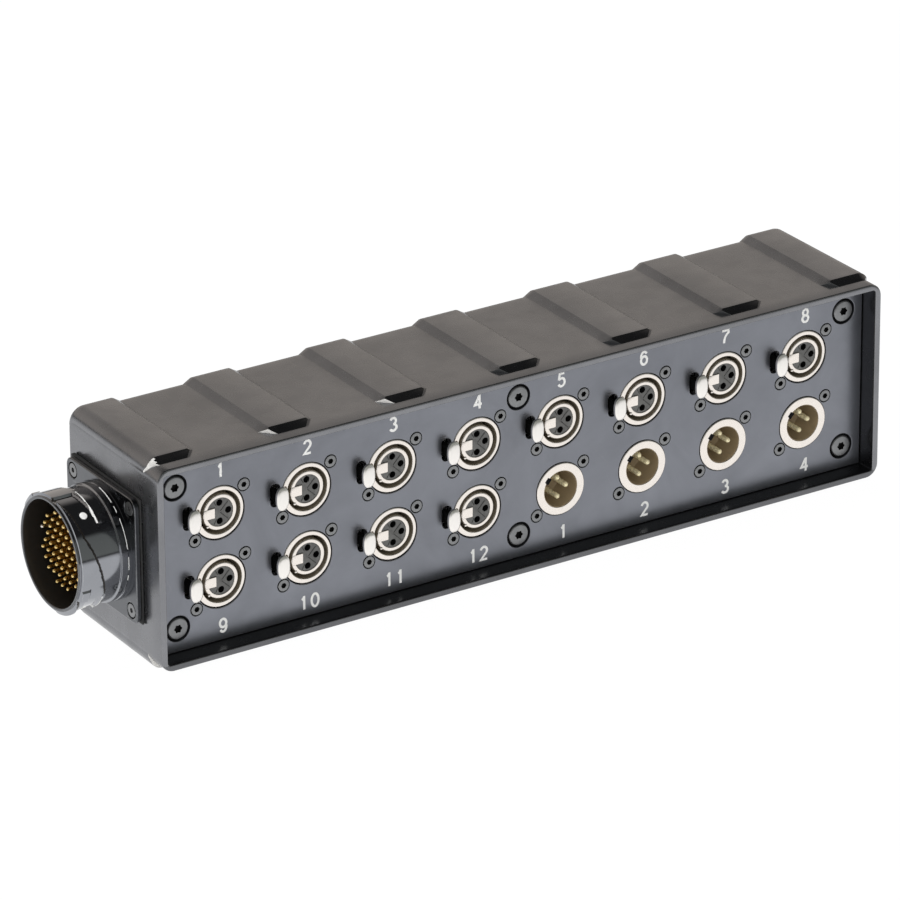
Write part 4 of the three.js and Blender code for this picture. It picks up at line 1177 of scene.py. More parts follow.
def connector_places(stem):
    return [(node.rpartition("_")[2], middle_of(node)) for node in numbered(stem)]


def small_screw_places():
    s = connector_sizes()
    places = []
    for stem in ("female_shell", "male_shell"):
        for number, centre in connector_places(stem):
            for side, label in ((1, "upper"), (-1, "lower")):
                x = centre.x + side * mm(s.screw_across)
                z = centre.z + side * mm(s.screw_up)
                kind = stem.partition("_")[0]
                places.append((f"{kind}_screw_{number}_{label}", x, z))
    return places


PANEL_CORNER = 0.7
PANEL_EDGE = 0.25
# The radius of the big screws' recesses, and the gap round the heads of the small ones
PANEL_SCREW_HOLE = 5.9
SMALL_SCREW_HOLE_GAP = 0.3
# The push tab's slot, from the middle of the connector's ring
SLOT_LEFT = -17.7
SLOT_RIGHT = -13.0
SLOT_LOW = -4.2
SLOT_HIGH = 6.3
SLOT_CORNER = 2.2


def panel_outlines():
    s = connector_sizes()
    width = PANEL_HIGH.x - PANEL_LOW.x
    height = PANEL_HIGH.z - PANEL_LOW.z
    middle = (PANEL_HIGH + PANEL_LOW) / 2
    outlines = [rounded_box_outline(width, height, PANEL_CORNER, middle.x, middle.z)]
    for stem in ("female_shell", "male_shell"):
        for _, centre in connector_places(stem):
            outlines.append(circle(mm(s.hole_radius), 72, centre.x, centre.z))
            if stem == "female_shell":
                outlines.append(rounded_box_outline(
                    SLOT_RIGHT - SLOT_LEFT, SLOT_HIGH - SLOT_LOW, SLOT_CORNER,
                    centre.x + (SLOT_LEFT + SLOT_RIGHT) / 2,
                    centre.z + (SLOT_LOW + SLOT_HIGH) / 2))
    for _, x, z in small_screw_places():
        outlines.append(circle(mm(s.screw_radius) + SMALL_SCREW_HOLE_GAP, 36, x, z))
    for node in numbered("panel_screw"):
        centre = middle_of(node)
        outlines.append(circle(PANEL_SCREW_HOLE, 48, centre.x, centre.z))
    return outlines


class STAGEBOX_OT_panel(Operator):
    """Makes the satin front panel with its holes and slots"""

    bl_idname = "stage_box.panel"
    bl_label = "Front panel"

    def execute(self, context):
        thickness = PANEL_HIGH.y - PANEL_LOW.y
        mesh = holed_plate("panel_plate", panel_outlines(), thickness, PANEL_EDGE,
                           finish("panel_satin"))
        place_piece("panel_plate", mesh, "panel_finish", y=PANEL_Y, replaces=["front_panel"])
        return {"FINISHED"}


# The printed numbers: their heights above the panel's middle and their shifts to the right
NUMBER_ROWS = {"top": (35.15, 0.75), "bottom": (-36.4, 0.55)}
NUMBER_HEIGHT = 7.0
NUMBER_WIDTH = 4.5
NUMBER_STROKE = 1.12
NUMBER_GAP = 1.1
# How far the print stands out of the panel
NUMBER_PRINT = 0.04
# The male connectors' numbers stand further to the right
MALE_NUMBER_SHIFT = 1.0


def bow(x, y, wide, tall, start, end, steps=12):
    """Points along part of an ellipse, by degrees."""
    points = []
    for k in range(steps + 1):
        angle = math.radians(start + (end - start) * k / steps)
        points.append((x + wide * math.cos(angle), y + tall * math.sin(angle)))
    return points


# The strokes of each digit, in a box one wide and one high
DIGIT_STROKES = {
    "0": [bow(0.5, 0.5, 0.5, 0.5, 0, 360, 28)],
    "1": [[(0.56, 1.04), (0.56, -0.04)], [(0.22, 0.76), (0.40, 0.82), (0.54, 0.98)]],
    "2": [bow(0.5, 0.71, 0.46, 0.29, 168, -38) + [(0.04, 0.0), (0.98, 0.0)]],
    "3": [bow(0.48, 0.755, 0.40, 0.245, 160, -90), bow(0.48, 0.26, 0.48, 0.26, 90, -158)],
    "4": [[(0.72, 1.04), (0.72, -0.04)], [(0.66, 0.98), (0.02, 0.30), (1.04, 0.30)]],
    "5": [[(0.90, 1.0), (0.20, 1.0), (0.10, 0.52)], bow(0.47, 0.32, 0.48, 0.32, 142, -156)],
    "6": [bow(0.5, 0.60, 0.46, 0.40, 32, 190), bow(0.5, 0.32, 0.46, 0.32, 180, -180, 24)],
    "7": [[(0.02, 1.0), (0.98, 1.0)] + bow(1.32, 0.0, 1.0, 0.82, 108, 180, 8)],
    "8": [bow(0.5, 0.755, 0.38, 0.245, -90, 270, 24), bow(0.5, 0.26, 0.47, 0.26, 90, 450, 24)],
    "9": [bow(0.5, 0.40, 0.46, 0.40, 212, 370), bow(0.5, 0.68, 0.46, 0.32, 0, 360, 24)],
}


def band(points, width, closed):
    """Both sides of a stroke of even width along a line of points."""
    sides = []
    count = len(points)
    for k, here in enumerate(points):
        steps = []
        if k or closed:
            steps.append((here - points[k - 1]).normalized())
        if k < count - 1 or closed:
            steps.append((points[(k + 1) % count] - here).normalized())
        across = left_of((steps[0] + steps[-1]).normalized())
        reach = across * (width / 2 / max(0.5, across.dot(left_of(steps[0]))))
        sides.append((here + reach, here - reach))
    return sides


class STAGEBOX_OT_numbers(Operator):
    """Prints a number at each connector"""

    bl_idname = "stage_box.numbers"
    bl_label = "Printed numbers"

    def execute(self, context):
        middle_z = (PANEL_HIGH.z + PANEL_LOW.z) / 2
        for stem in ("female_shell", "male_shell"):
            for number, centre in connector_places(stem):
                height, shift = NUMBER_ROWS["top" if centre.z > middle_z else "bottom"]
                if stem == "male_shell":
                    shift += MALE_NUMBER_SHIFT
                digits = self.digits(number)
                mesh = mesh_of("digits_" + number, digits, finish("number_white"), 30.0)
                kind = stem.partition("_")[0]
                place_piece(f"{kind}_number_{number}", mesh, "panel_finish",
                            x=centre.x + shift, y=PANEL_Y, z=middle_z + height)
        return {"FINISHED"}

    def digits(self, text):
        shape = Shape()
        tall = NUMBER_HEIGHT - NUMBER_STROKE
        wide = NUMBER_WIDTH - NUMBER_STROKE
        step = NUMBER_WIDTH + NUMBER_GAP
        for place, digit in enumerate(text):
            start = (place - (len(text) - 1) / 2) * step - wide / 2
            for level, stroke in enumerate(DIGIT_STROKES[digit]):
                points = [Vector((start + wide * x, tall * (y - 0.5))) for x, y in stroke]
                self.stroke(shape, points, NUMBER_PRINT * (1 + level / 2))
        return shape

    def stroke(self, shape, points, print_height):
        closed = (points[0] - points[-1]).length < 1e-4
        if closed:
            points = points[:-1]
        rings = [shape.ring([(a.x, NUMBER_PRINT, a.y), (a.x, -print_height, a.y),
                             (b.x, -print_height, b.y), (b.x, NUMBER_PRINT, b.y)])
                 for a, b in band(points, NUMBER_STROKE, closed)]
        for first, second in zip(rings, rings[1:]):
            shape.bridge(first, second)
        if closed:
            shape.bridge(rings[-1], rings[0])
        else:
            shape.cap(rings[0])
            shape.cap(rings[-1])


# Screws


def screw_shape(head, socket, socket_depth, face, profile, facing="front"):
    """A screw with a socket in a flat face, which ends at the head's radius.

    The profile is (radius, depth) from there backwards."""
    socket = densify(socket)
    shape = Shape()
    place = Shape.FACINGS[facing]

    def level(points, share, depth):
        return shape.ring(place(x * share, y * share, depth) for x, y in points)

    rim = [polar(head, math.atan2(p.y, p.x)) for p in socket]
    rings = [level(rim, 1.0, face), level(socket, 1.0, face), level(socket, 0.95, face + 0.15),
             level(socket, 0.95, face + socket_depth)]
    for first, second in zip(rings, rings[1:]):
        shape.bridge(first, second)
    shape.cap(rings[-1])
    last = rings[0]
    for radius, depth in profile:
        ring = level(rim, radius / head, depth)
        shape.bridge(last, ring)
        last = ring
    shape.cap(last)
    return shape


def blacken_socket(mesh, face, radius):
    """Paints the inside of a screw's socket, round the mesh's axis, near black as painted shade.
    """
    mesh.materials.append(finish("socket_black"))
    for polygon in mesh.polygons:
        along_x, depth, along_z = polygon.center / MM
        if depth > face + 0.03 and math.hypot(along_x, along_z) < radius:
            polygon.material_index = 1


class STAGEBOX_OT_panel_screws(Operator):
    """Makes the six big cap screws in their recesses"""

    bl_idname = "stage_box.panel_screws"
    bl_label = "Panel screws"

    def execute(self, context):
        low, high = (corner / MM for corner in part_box("panel_screw_1"))
        radius = (high.x - low.x) / 2
        face = low.y - PANEL_Y
        back = high.y - PANEL_Y
        flat = radius - 0.5
        socket = star_outline(radius=2.15, inner_share=0.74, points=6)
        profile = [(flat + 0.1, face + 0.02), (radius - 0.15, face + 0.18),
                   (radius, face + 0.4), (radius, face + 1.7), (2.5, face + 1.7),
                   (2.5, back - 0.8), (1.9, back)]
        shape = screw_shape(flat, socket, socket_depth=1.7, face=face, profile=profile)
        self.ticks(shape, radius, face)
        mesh = mesh_of("cap_screw", shape, finish("blackened_steel"), 30.0)
        blacken_socket(mesh, face, radius=2.1)
        seat = Shape()
        # A near-black seat behind the panel's hole round each screw: painted shade
        seat.turned(tube(inner=2.9, outer=PANEL_SCREW_HOLE, front=2.0, back=2.9), 48)
        seat_mesh = mesh_of("screw_seat", seat, finish("socket_black"))
        for node in numbered("panel_screw"):
            number = node.rpartition("_")[2]
            centre = middle_of(node)
            place_piece(f"cap_screw_{number}", mesh, "black_steel", x=centre.x, y=PANEL_Y,
                        z=centre.z, replaces=[node])
            place_piece(f"screw_seat_{number}", seat_mesh, "panel_finish", x=centre.x,
                        y=PANEL_Y, z=centre.z)
        return {"FINISHED"}

    def ticks(self, shape, radius, face):
        """Tiny raised nicks near the head's edge."""
        count = 6
        half_width = 0.13
        for k in range(count):
            direction = polar(1.0, math.tau * (k + 0.35) / count)
            side = left_of(direction)
            outline = []
            for along, across in ((0.70, -1), (0.78, -1), (0.78, 1), (0.70, 1)):
                outline.append(direction * radius * along + side * across * half_width)
            shape.plate(outline, face - 0.05, face + 0.1)


class STAGEBOX_OT_connector_screws(Operator):
    """Makes the two countersunk screws of each connector"""

    bl_idname = "stage_box.connector_screws"
    bl_label = "Connector screws"

    def execute(self, context):
        s = connector_sizes()
        radius = mm(s.screw_radius)
        face = -0.15
        profile = [(radius - 0.12, face + 0.03), (radius, face + 0.16), (radius, face + 0.35),
                   (1.4, face + 1.7), (1.4, 5.0)]
        socket = hexagon(radius=1.35, softness=0.1)
        shape = screw_shape(radius - 0.3, socket, socket_depth=1.3, face=face, profile=profile)
        mesh = mesh_of("countersunk_screw", shape, finish("blackened_steel"), 30.0)
        blacken_socket(mesh, face, radius=1.3)
        for name, x, z in small_screw_places():
            place_piece(name, mesh, "black_steel", x=x, y=PANEL_Y, z=z)
        return {"FINISHED"}


# Connectors

# The back of a connector behind the panel's face
CONNECTOR_BACK = 22.0
# The female insert's face behind the panel's, its front's thickness and that one's edge
INSERT_SINK = 0.7
INSERT_THICKNESS = 2.4
INSERT_EDGE = 0.14
# The inner end of the key plate, half its width, and half the width of the insert's slot for it
KEY_TIP = -2.4
KEY_HALF = 2.35
KEY_SLOT_HALF = 2.5
# The raised lines of the insert, coloured dark as painted shade: by degrees, from and to a radius,
# and half their width
RIDGES = ((45, 0.4, 5.6), (-45, 0.4, 5.6), (118, 3.4, 5.9), (-118, 3.4, 5.9))
RIDGE_HALF = 0.16
# The corners of the latch's way through the ring
LATCH_WAY = ((-11.3, -3.4), (-10.1, -4.0), (-9.5, -1.2), (-8.9, -0.9), (-8.9, 0.9), (-9.5, 1.2),
             (-10.1, 3.6), (-11.1, 4.1), (-11.45, 1.6))
# The male ring's face before the panel's, and where its middle is from the screws' middle
MALE_FACE = -0.15
MALE_SHIFT = Vector((0.25, -0.25))
# The corners of the key notch in the male cup, and how far it is turned upwards
KEY_NOTCH = ((7.2, -1.5), (9.4, -1.3), (9.4, 1.3), (7.2, 1.5))
KEY_NOTCH_TURN = 141


def three_places(radius):
    """The middles of a connector's three contacts."""
    return [polar(radius, math.radians(degrees)) for degrees in (90, 0, -90)]


# The flange behind the panel: its corners' radius, thickness, edge and distance from the panel
FLANGE_CORNER = 3.0
FLANGE_THICKNESS = 2.0
FLANGE_EDGE = 0.3
FLANGE_GAP = 0.3
# The plate at the foot of a push tab, where it is from the tab, and the flange's gaps round it
TAB_PLATE_WIDTH = 5.7
TAB_PLATE_HEIGHT = 12.0
TAB_PLATE_SHIFT = -0.95
TAB_PLATE_CORNER = 0.5
TAB_GAP_ACROSS = 0.4
TAB_GAP_UP = 0.5


def connector_flange(name, with_tab=False):
    """The plate that holds a connector behind the panel, open round the ring and at a tab."""
    s = connector_sizes()
    half_x, _, half_z = middle_of("male_shell_1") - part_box("male_shell_1")[0] / MM
    corners = [(-half_x, -half_z, FLANGE_CORNER), (half_x, -half_z, FLANGE_CORNER),
               (half_x, half_z, FLANGE_CORNER), (-half_x, half_z, FLANGE_CORNER)]
    if with_tab:
        middle = TAB_PLATE_SHIFT - mm(s.tab_offset)
        inner = middle + TAB_PLATE_WIDTH / 2 + TAB_GAP_ACROSS
        reach = TAB_PLATE_HEIGHT / 2 + TAB_GAP_UP
        top = mm(s.tab_rise) + reach
        bottom = mm(s.tab_rise) - reach
        corners += [(x, z, TAB_PLATE_CORNER) for x, z in (
            (-half_x, top), (inner, top), (inner, bottom), (-half_x, bottom))]
    outlines = [filleted(corners), circle(mm(s.ring_radius) - 0.2, 72)]
    # The flange is near black: painted shade behind the panel
    mesh = holed_plate(name, outlines, FLANGE_THICKNESS, FLANGE_EDGE, finish("socket_black"))
    depth = PANEL_HIGH.y - PANEL_LOW.y + FLANGE_GAP
    mesh.transform(Matrix.Translation((0.0, depth * MM, 0.0)))
    return mesh


class STAGEBOX_OT_female_connectors(Operator):
    """Makes the twelve female connectors"""

    bl_idname = "stage_box.female_connectors"
    bl_label = "Female connectors"

    def execute(self, context):
        flange = connector_flange("female_flange", with_tab=True)
        ring = mesh_of("female_ring", self.ring(), finish("nickel_plate"), 35.0)
        liner = mesh_of("groove_liner", self.liner(), finish("groove_dark"))
        key = mesh_of("key_plate", self.key(), finish("nickel_plate"), 35.0)
        notch = mesh_of("latch_notch", self.notch(), finish("groove_dark"))
        face = self.face()
        # The insert's core and the wells behind its holes are near black: painted shade
        core = mesh_of("insert_core", self.core(), finish("socket_black"))
        wells = mesh_of("contact_wells", self.wells(), finish("socket_black"), 35.0)
        parts = (
            ("groove_liner", liner, "nickel"),
            ("key_plate", key, "nickel"),
            ("latch_notch", notch, "nickel"),
            ("insert_core", core, "insert_grey"),
            ("contact_wells", wells, "insert_grey"),
        )
        for number, centre in connector_places("female_shell"):
            spot = {"x": centre.x, "y": PANEL_Y, "z": centre.z}
            place_piece(f"female_ring_{number}", ring, "nickel",
                        replaces=[f"female_shell_{number}"], **spot)
            place_piece(f"female_flange_{number}", flange, "nickel", **spot)
            spot["x"] += mm(connector_sizes().groove_shift)
            place_piece(f"insert_face_{number}", face, "insert_grey",
                        replaces=[f"female_insert_{number}"], **spot)
            for name, mesh, slot in parts:
                place_piece(f"{name}_{number}", mesh, slot, **spot)
        return {"FINISHED"}

    def ring(self):
        """The plated ring. Its groove and bore sit a little to the right of its outside."""
        s = connector_sizes()
        shape = Shape()
        face = mm(s.ring_sink)
        inner = face + 0.2
        floor = face + mm(s.groove_depth)
        outer = mm(s.ring_radius)
        wide, narrow = mm(s.groove_outer), mm(s.groove_inner)
        bore = mm(s.insert_radius) + 0.05
        profile = filleted([
            (bore, inner, 0.3), (narrow, inner, 0.5), (narrow, floor, 0), (wide, floor, 0),
            (wide, face, 0.3), (outer, face, 0.5), (outer, CONNECTOR_BACK, 0.3),
            (bore, CONNECTOR_BACK, 0),
        ])
        shape.turned(profile, 96)
        middle = (wide + outer) / 2
        shift = mm(s.groove_shift)
        for k, (x, depth, z) in enumerate(shape.points):
            if math.hypot(x, z) < middle:
                shape.points[k] = (x + shift, depth, z)
        rivet = polar(narrow, math.radians(222), shift)
        shape.dome(circle(0.75, 16, *rivet), face - 0.1, face + 2.5, crown=0.05, steps=6,
                   edge=0.5)
        return shape

    # A thin dark sheet inside the groove, as painted shade
    def liner(self):
        s = connector_sizes()
        shape = Shape()
        wide, narrow = mm(s.groove_outer) - 0.02, mm(s.groove_inner) + 0.02
        top = mm(s.ring_sink) + 0.4
        floor = mm(s.ring_sink) + mm(s.groove_depth) - 0.02
        skin = 0.15
        shape.turned(filleted([
            (narrow, floor, 0), (wide, floor, 0), (wide, top, 0.05), (wide - skin, top, 0.05),
            (wide - skin, floor - skin, 0.1), (narrow + skin, floor - skin, 0.1),
            (narrow + skin, top + 0.3, 0.05), (narrow, top + 0.3, 0.05),
        ], 2), 72)
        return shape

    def key(self):
        """The plated key that bridges the ring and the insert."""
        shape = Shape()
        reach = mm(connector_sizes().groove_inner) - 0.3
        outline = filleted([(-reach, -KEY_HALF, 0.2), (KEY_TIP, -KEY_HALF, 0.35),
                            (KEY_TIP, KEY_HALF, 0.35), (-reach, KEY_HALF, 0.2)], 3)
        shape.plate(outline, mm(connector_sizes().ring_sink) + 0.1, 6.0, edge=0.25)
        return shape

    def notch(self):
        """A dark plate on the ring where the latch's hook goes through: painted shade."""
        shape = Shape()
        outline = filleted([(x, z, 0.2) for x, z in LATCH_WAY], 2)
        face = mm(connector_sizes().ring_sink)
        shape.plate(outline, face - 0.04, 4.0, edge=0.03)
        return shape

    def face(self):
        """The insert's front, with its holes and the key's slot."""
        s = connector_sizes()
        radius = mm(s.insert_radius)
        start = math.pi - math.asin(KEY_SLOT_HALF / radius)
        outline = [polar(radius, start * (k / 24 - 1)) for k in range(49)]
        outline += [Vector((KEY_TIP + 0.15, KEY_SLOT_HALF)),
                    Vector((KEY_TIP + 0.15, -KEY_SLOT_HALF))]
        outlines = [outline] + [circle(mm(s.contact_hole), 28, x, z)
                                for x, z in three_places(mm(s.hole_circle))]
        mesh = holed_plate("insert_face", outlines, INSERT_THICKNESS, INSERT_EDGE,
                           finish("insert_plastic"))
        ridges = Shape()
        for points in self.ridge_lines():
            ridges.plate(points, -0.16, 0.5, edge=0.05)
        extra = mesh_of("insert_ridges", ridges, finish("insert_relief"), 30.0)
        joined = bmesh.new()
        joined.from_mesh(extra)
        for face in joined.faces:
            face.material_index = 1
        joined.from_mesh(mesh)
        joined.to_mesh(mesh)
        joined.free()
        mesh.materials.append(finish("insert_relief"))
        mesh.transform(Matrix.Translation((0.0, INSERT_SINK * MM, 0.0)))
        return mesh

    def ridge_lines(self):
        """The outlines of the raised lines between the holes, coloured dark as painted shade."""
        lines = []
        for degrees, start, end in RIDGES:
            direction = polar(1.0, math.radians(degrees))
            side = left_of(direction) * RIDGE_HALF
            lines.append([direction * start - side, direction * end - side,
                          direction * end + side, direction * start + side])
        return lines

    def core(self):
        shape = Shape()
        radius = mm(connector_sizes().insert_radius)
        shape.turned(tube(inner=AXIS, outer=radius, front=5.4, back=CONNECTOR_BACK), 32)
        return shape

    def wells(self):
        """The near-black sleeves behind the insert's holes: painted shade in the holes."""
        s = connector_sizes()
        shape = Shape()
        outer = mm(s.contact_hole) + 0.25
        inner = mm(s.contact_hole) - 0.1
        front = INSERT_SINK + 0.2
        foot = 5.6
        profile = filleted([(inner, front, 0.05), (outer, front, 0), (outer, foot, 0),
                            (inner, foot, 0)], 2)
        for x, z in three_places(mm(s.hole_circle)):
            shape.turned(profile, 20, x=x, y=z)
        return shape


class STAGEBOX_OT_push_tabs(Operator):
    """Makes the push tab beside each female connector"""

    bl_idname = "stage_box.push_tabs"
    bl_label = "Push tabs"

    def execute(self, context):
        low, high = (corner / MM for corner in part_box("latch_1"))
        face, foot = low.y - PANEL_Y, high.y - PANEL_Y
        mesh = mesh_of("push_tab", self.tab(face, foot), finish("bright_plate"), 40.0)
        s = connector_sizes()
        stem = Shape()
        outline = rounded_box_outline(2.4, 5.6, 0.5, -mm(s.tab_offset) - 0.75, mm(s.tab_rise))
        stem.plate(outline, face + 1.8, foot - 0.9)
        # The stem is near black: painted shade in the slot
        stem = mesh_of("tab_stem", stem, finish("socket_black"), 40.0)
        for number, centre in connector_places("female_shell"):
            spot = {"x": centre.x, "y": PANEL_Y, "z": centre.z}
            place_piece(f"push_tab_{number}", mesh, "nickel", body=f"push_tab_{number}",
                        replaces=[f"latch_{number}"], **spot)
            place_piece(f"tab_stem_{number}", stem, "nickel", body=f"push_tab_{number}", **spot)
        return {"FINISHED"}

    def tab(self, face, foot):
        """The domed tab, nearly an ellipse, and the plate at its foot."""
        s = connector_sizes()
        shape = Shape()
        x, z = -mm(s.tab_offset), mm(s.tab_rise)
        width, height = mm(s.tab_width), mm(s.tab_height)
        outline = []
        for k in range(48):
            a = math.tau * k / 48
            c, n = math.cos(a), math.sin(a)
            outline.append(Vector((
                x + width / 2 * math.copysign(abs(c) ** 0.8, c),
                z + height / 2 * math.copysign(abs(n) ** 0.86, n))))
        shape.dome(outline, face + 0.05, face + 2.0, crown=0.0, steps=8, edge=0.8)
        plate = rounded_box_outline(TAB_PLATE_WIDTH, TAB_PLATE_HEIGHT, TAB_PLATE_CORNER,
                                    x + TAB_PLATE_SHIFT, z)
        shape.plate(plate, foot - 1.2, foot, edge=0.2)
        return shape


class STAGEBOX_OT_male_connectors(Operator):
    """Makes the four male connectors"""

    bl_idname = "stage_box.male_connectors"
    bl_label = "Male connectors"

    def execute(self, context):
        flange = connector_flange("male_flange")
        ring = mesh_of("male_ring", self.ring(), finish("nickel_plate"), 35.0)
        cup = mesh_of("male_cup", self.cup(), finish("cup_plate"), 35.0)
        notch = mesh_of("key_notch", self.notch(), finish("socket_black"))
        pins = mesh_of("male_pins", self.pins(), finish("pin_plate"), 50.0)
        for number, centre in connector_places("male_shell"):
            spot = {"x": centre.x + MALE_SHIFT.x, "y": PANEL_Y, "z": centre.z + MALE_SHIFT.y}
            place_piece(f"male_ring_{number}", ring, "nickel",
                        replaces=[f"male_shell_{number}"], **spot)
            place_piece(f"male_pins_{number}", pins, "contact_gold",
                        replaces=[f"male_insert_{number}"], **spot)
            place_piece(f"male_cup_{number}", cup, "nickel", **spot)
            place_piece(f"key_notch_{number}", notch, "nickel", **spot)
            place_piece(f"male_flange_{number}", flange, "nickel", **spot)
        return {"FINISHED"}

    def ring(self):
        s = connector_sizes()
        shape = Shape()
        inner = mm(s.cup_radius)
        outer = mm(s.ring_radius) + 0.2
        shape.turned(filleted([(inner, MALE_FACE, 0.25), (outer, MALE_FACE, 0.5),
                               (outer, CONNECTOR_BACK, 0.3), (inner, CONNECTOR_BACK, 0)]), 96)
        return shape

    def cup(self):
        s = connector_sizes()
        shape = Shape()
        outer = mm(s.cup_radius) - 0.02
        inner = outer - 0.25
        top = MALE_FACE + 0.3
        floor = MALE_FACE + mm(s.cup_depth)
        shape.turned(filleted([
            (AXIS, floor, 0), (inner, floor, 0.6), (inner, top, 0.08), (outer, top, 0.08),
            (outer, CONNECTOR_BACK, 0), (AXIS, CONNECTOR_BACK, 0),
        ], 3), 72)
        return shape

    def notch(self):
        """A black plate where the key notch is in the wall of the cup: painted shade."""
        shape = Shape()
        turn = Matrix.Rotation(math.radians(KEY_NOTCH_TURN), 2)
        outline = [turn @ Vector(corner) for corner in KEY_NOTCH]
        shape.plate(outline, MALE_FACE - 0.03, 8.0, edge=0.02)
        return shape

    def pins(self):
        s = connector_sizes()
        shape = Shape()
        tip = MALE_FACE + mm(s.pin_recess)
        foot = MALE_FACE + mm(s.cup_depth) + 1.0
        profile = pin_profile(mm(s.pin_radius), tip, foot)
        for x, z in three_places(mm(s.pin_circle)):
            shape.turned(profile, 24, x=x, y=z)
        return shape


# Multipin connector

RIM_X = SHELL_LOW.x
AT_MULTIPIN = {"y": MULTIPIN_CENTRE.y, "z": MULTIPIN_CENTRE.z}
SQUARE_FLANGE_SIDE = SHELL_HIGH.y - SHELL_LOW.y
SQUARE_FLANGE_EDGE = 0.45
# The tube behind the flange: its outside and its inside, in from the barrel's outside
TUBE_OUTER_INSET = 4.0
TUBE_INNER_INSET = 6.4
# The insert's thickness at its edge, and the gap round it
DISC_THICKNESS = 3.0
DISC_GAP = 0.3
FLANGE_SCREW_RADIUS = 3.1
FLANGE_SCREW_HOLE = 3.55


def flange_x():
    """The flange's outer face."""
    return RIM_X + mm(multipin_sizes().barrel_length)


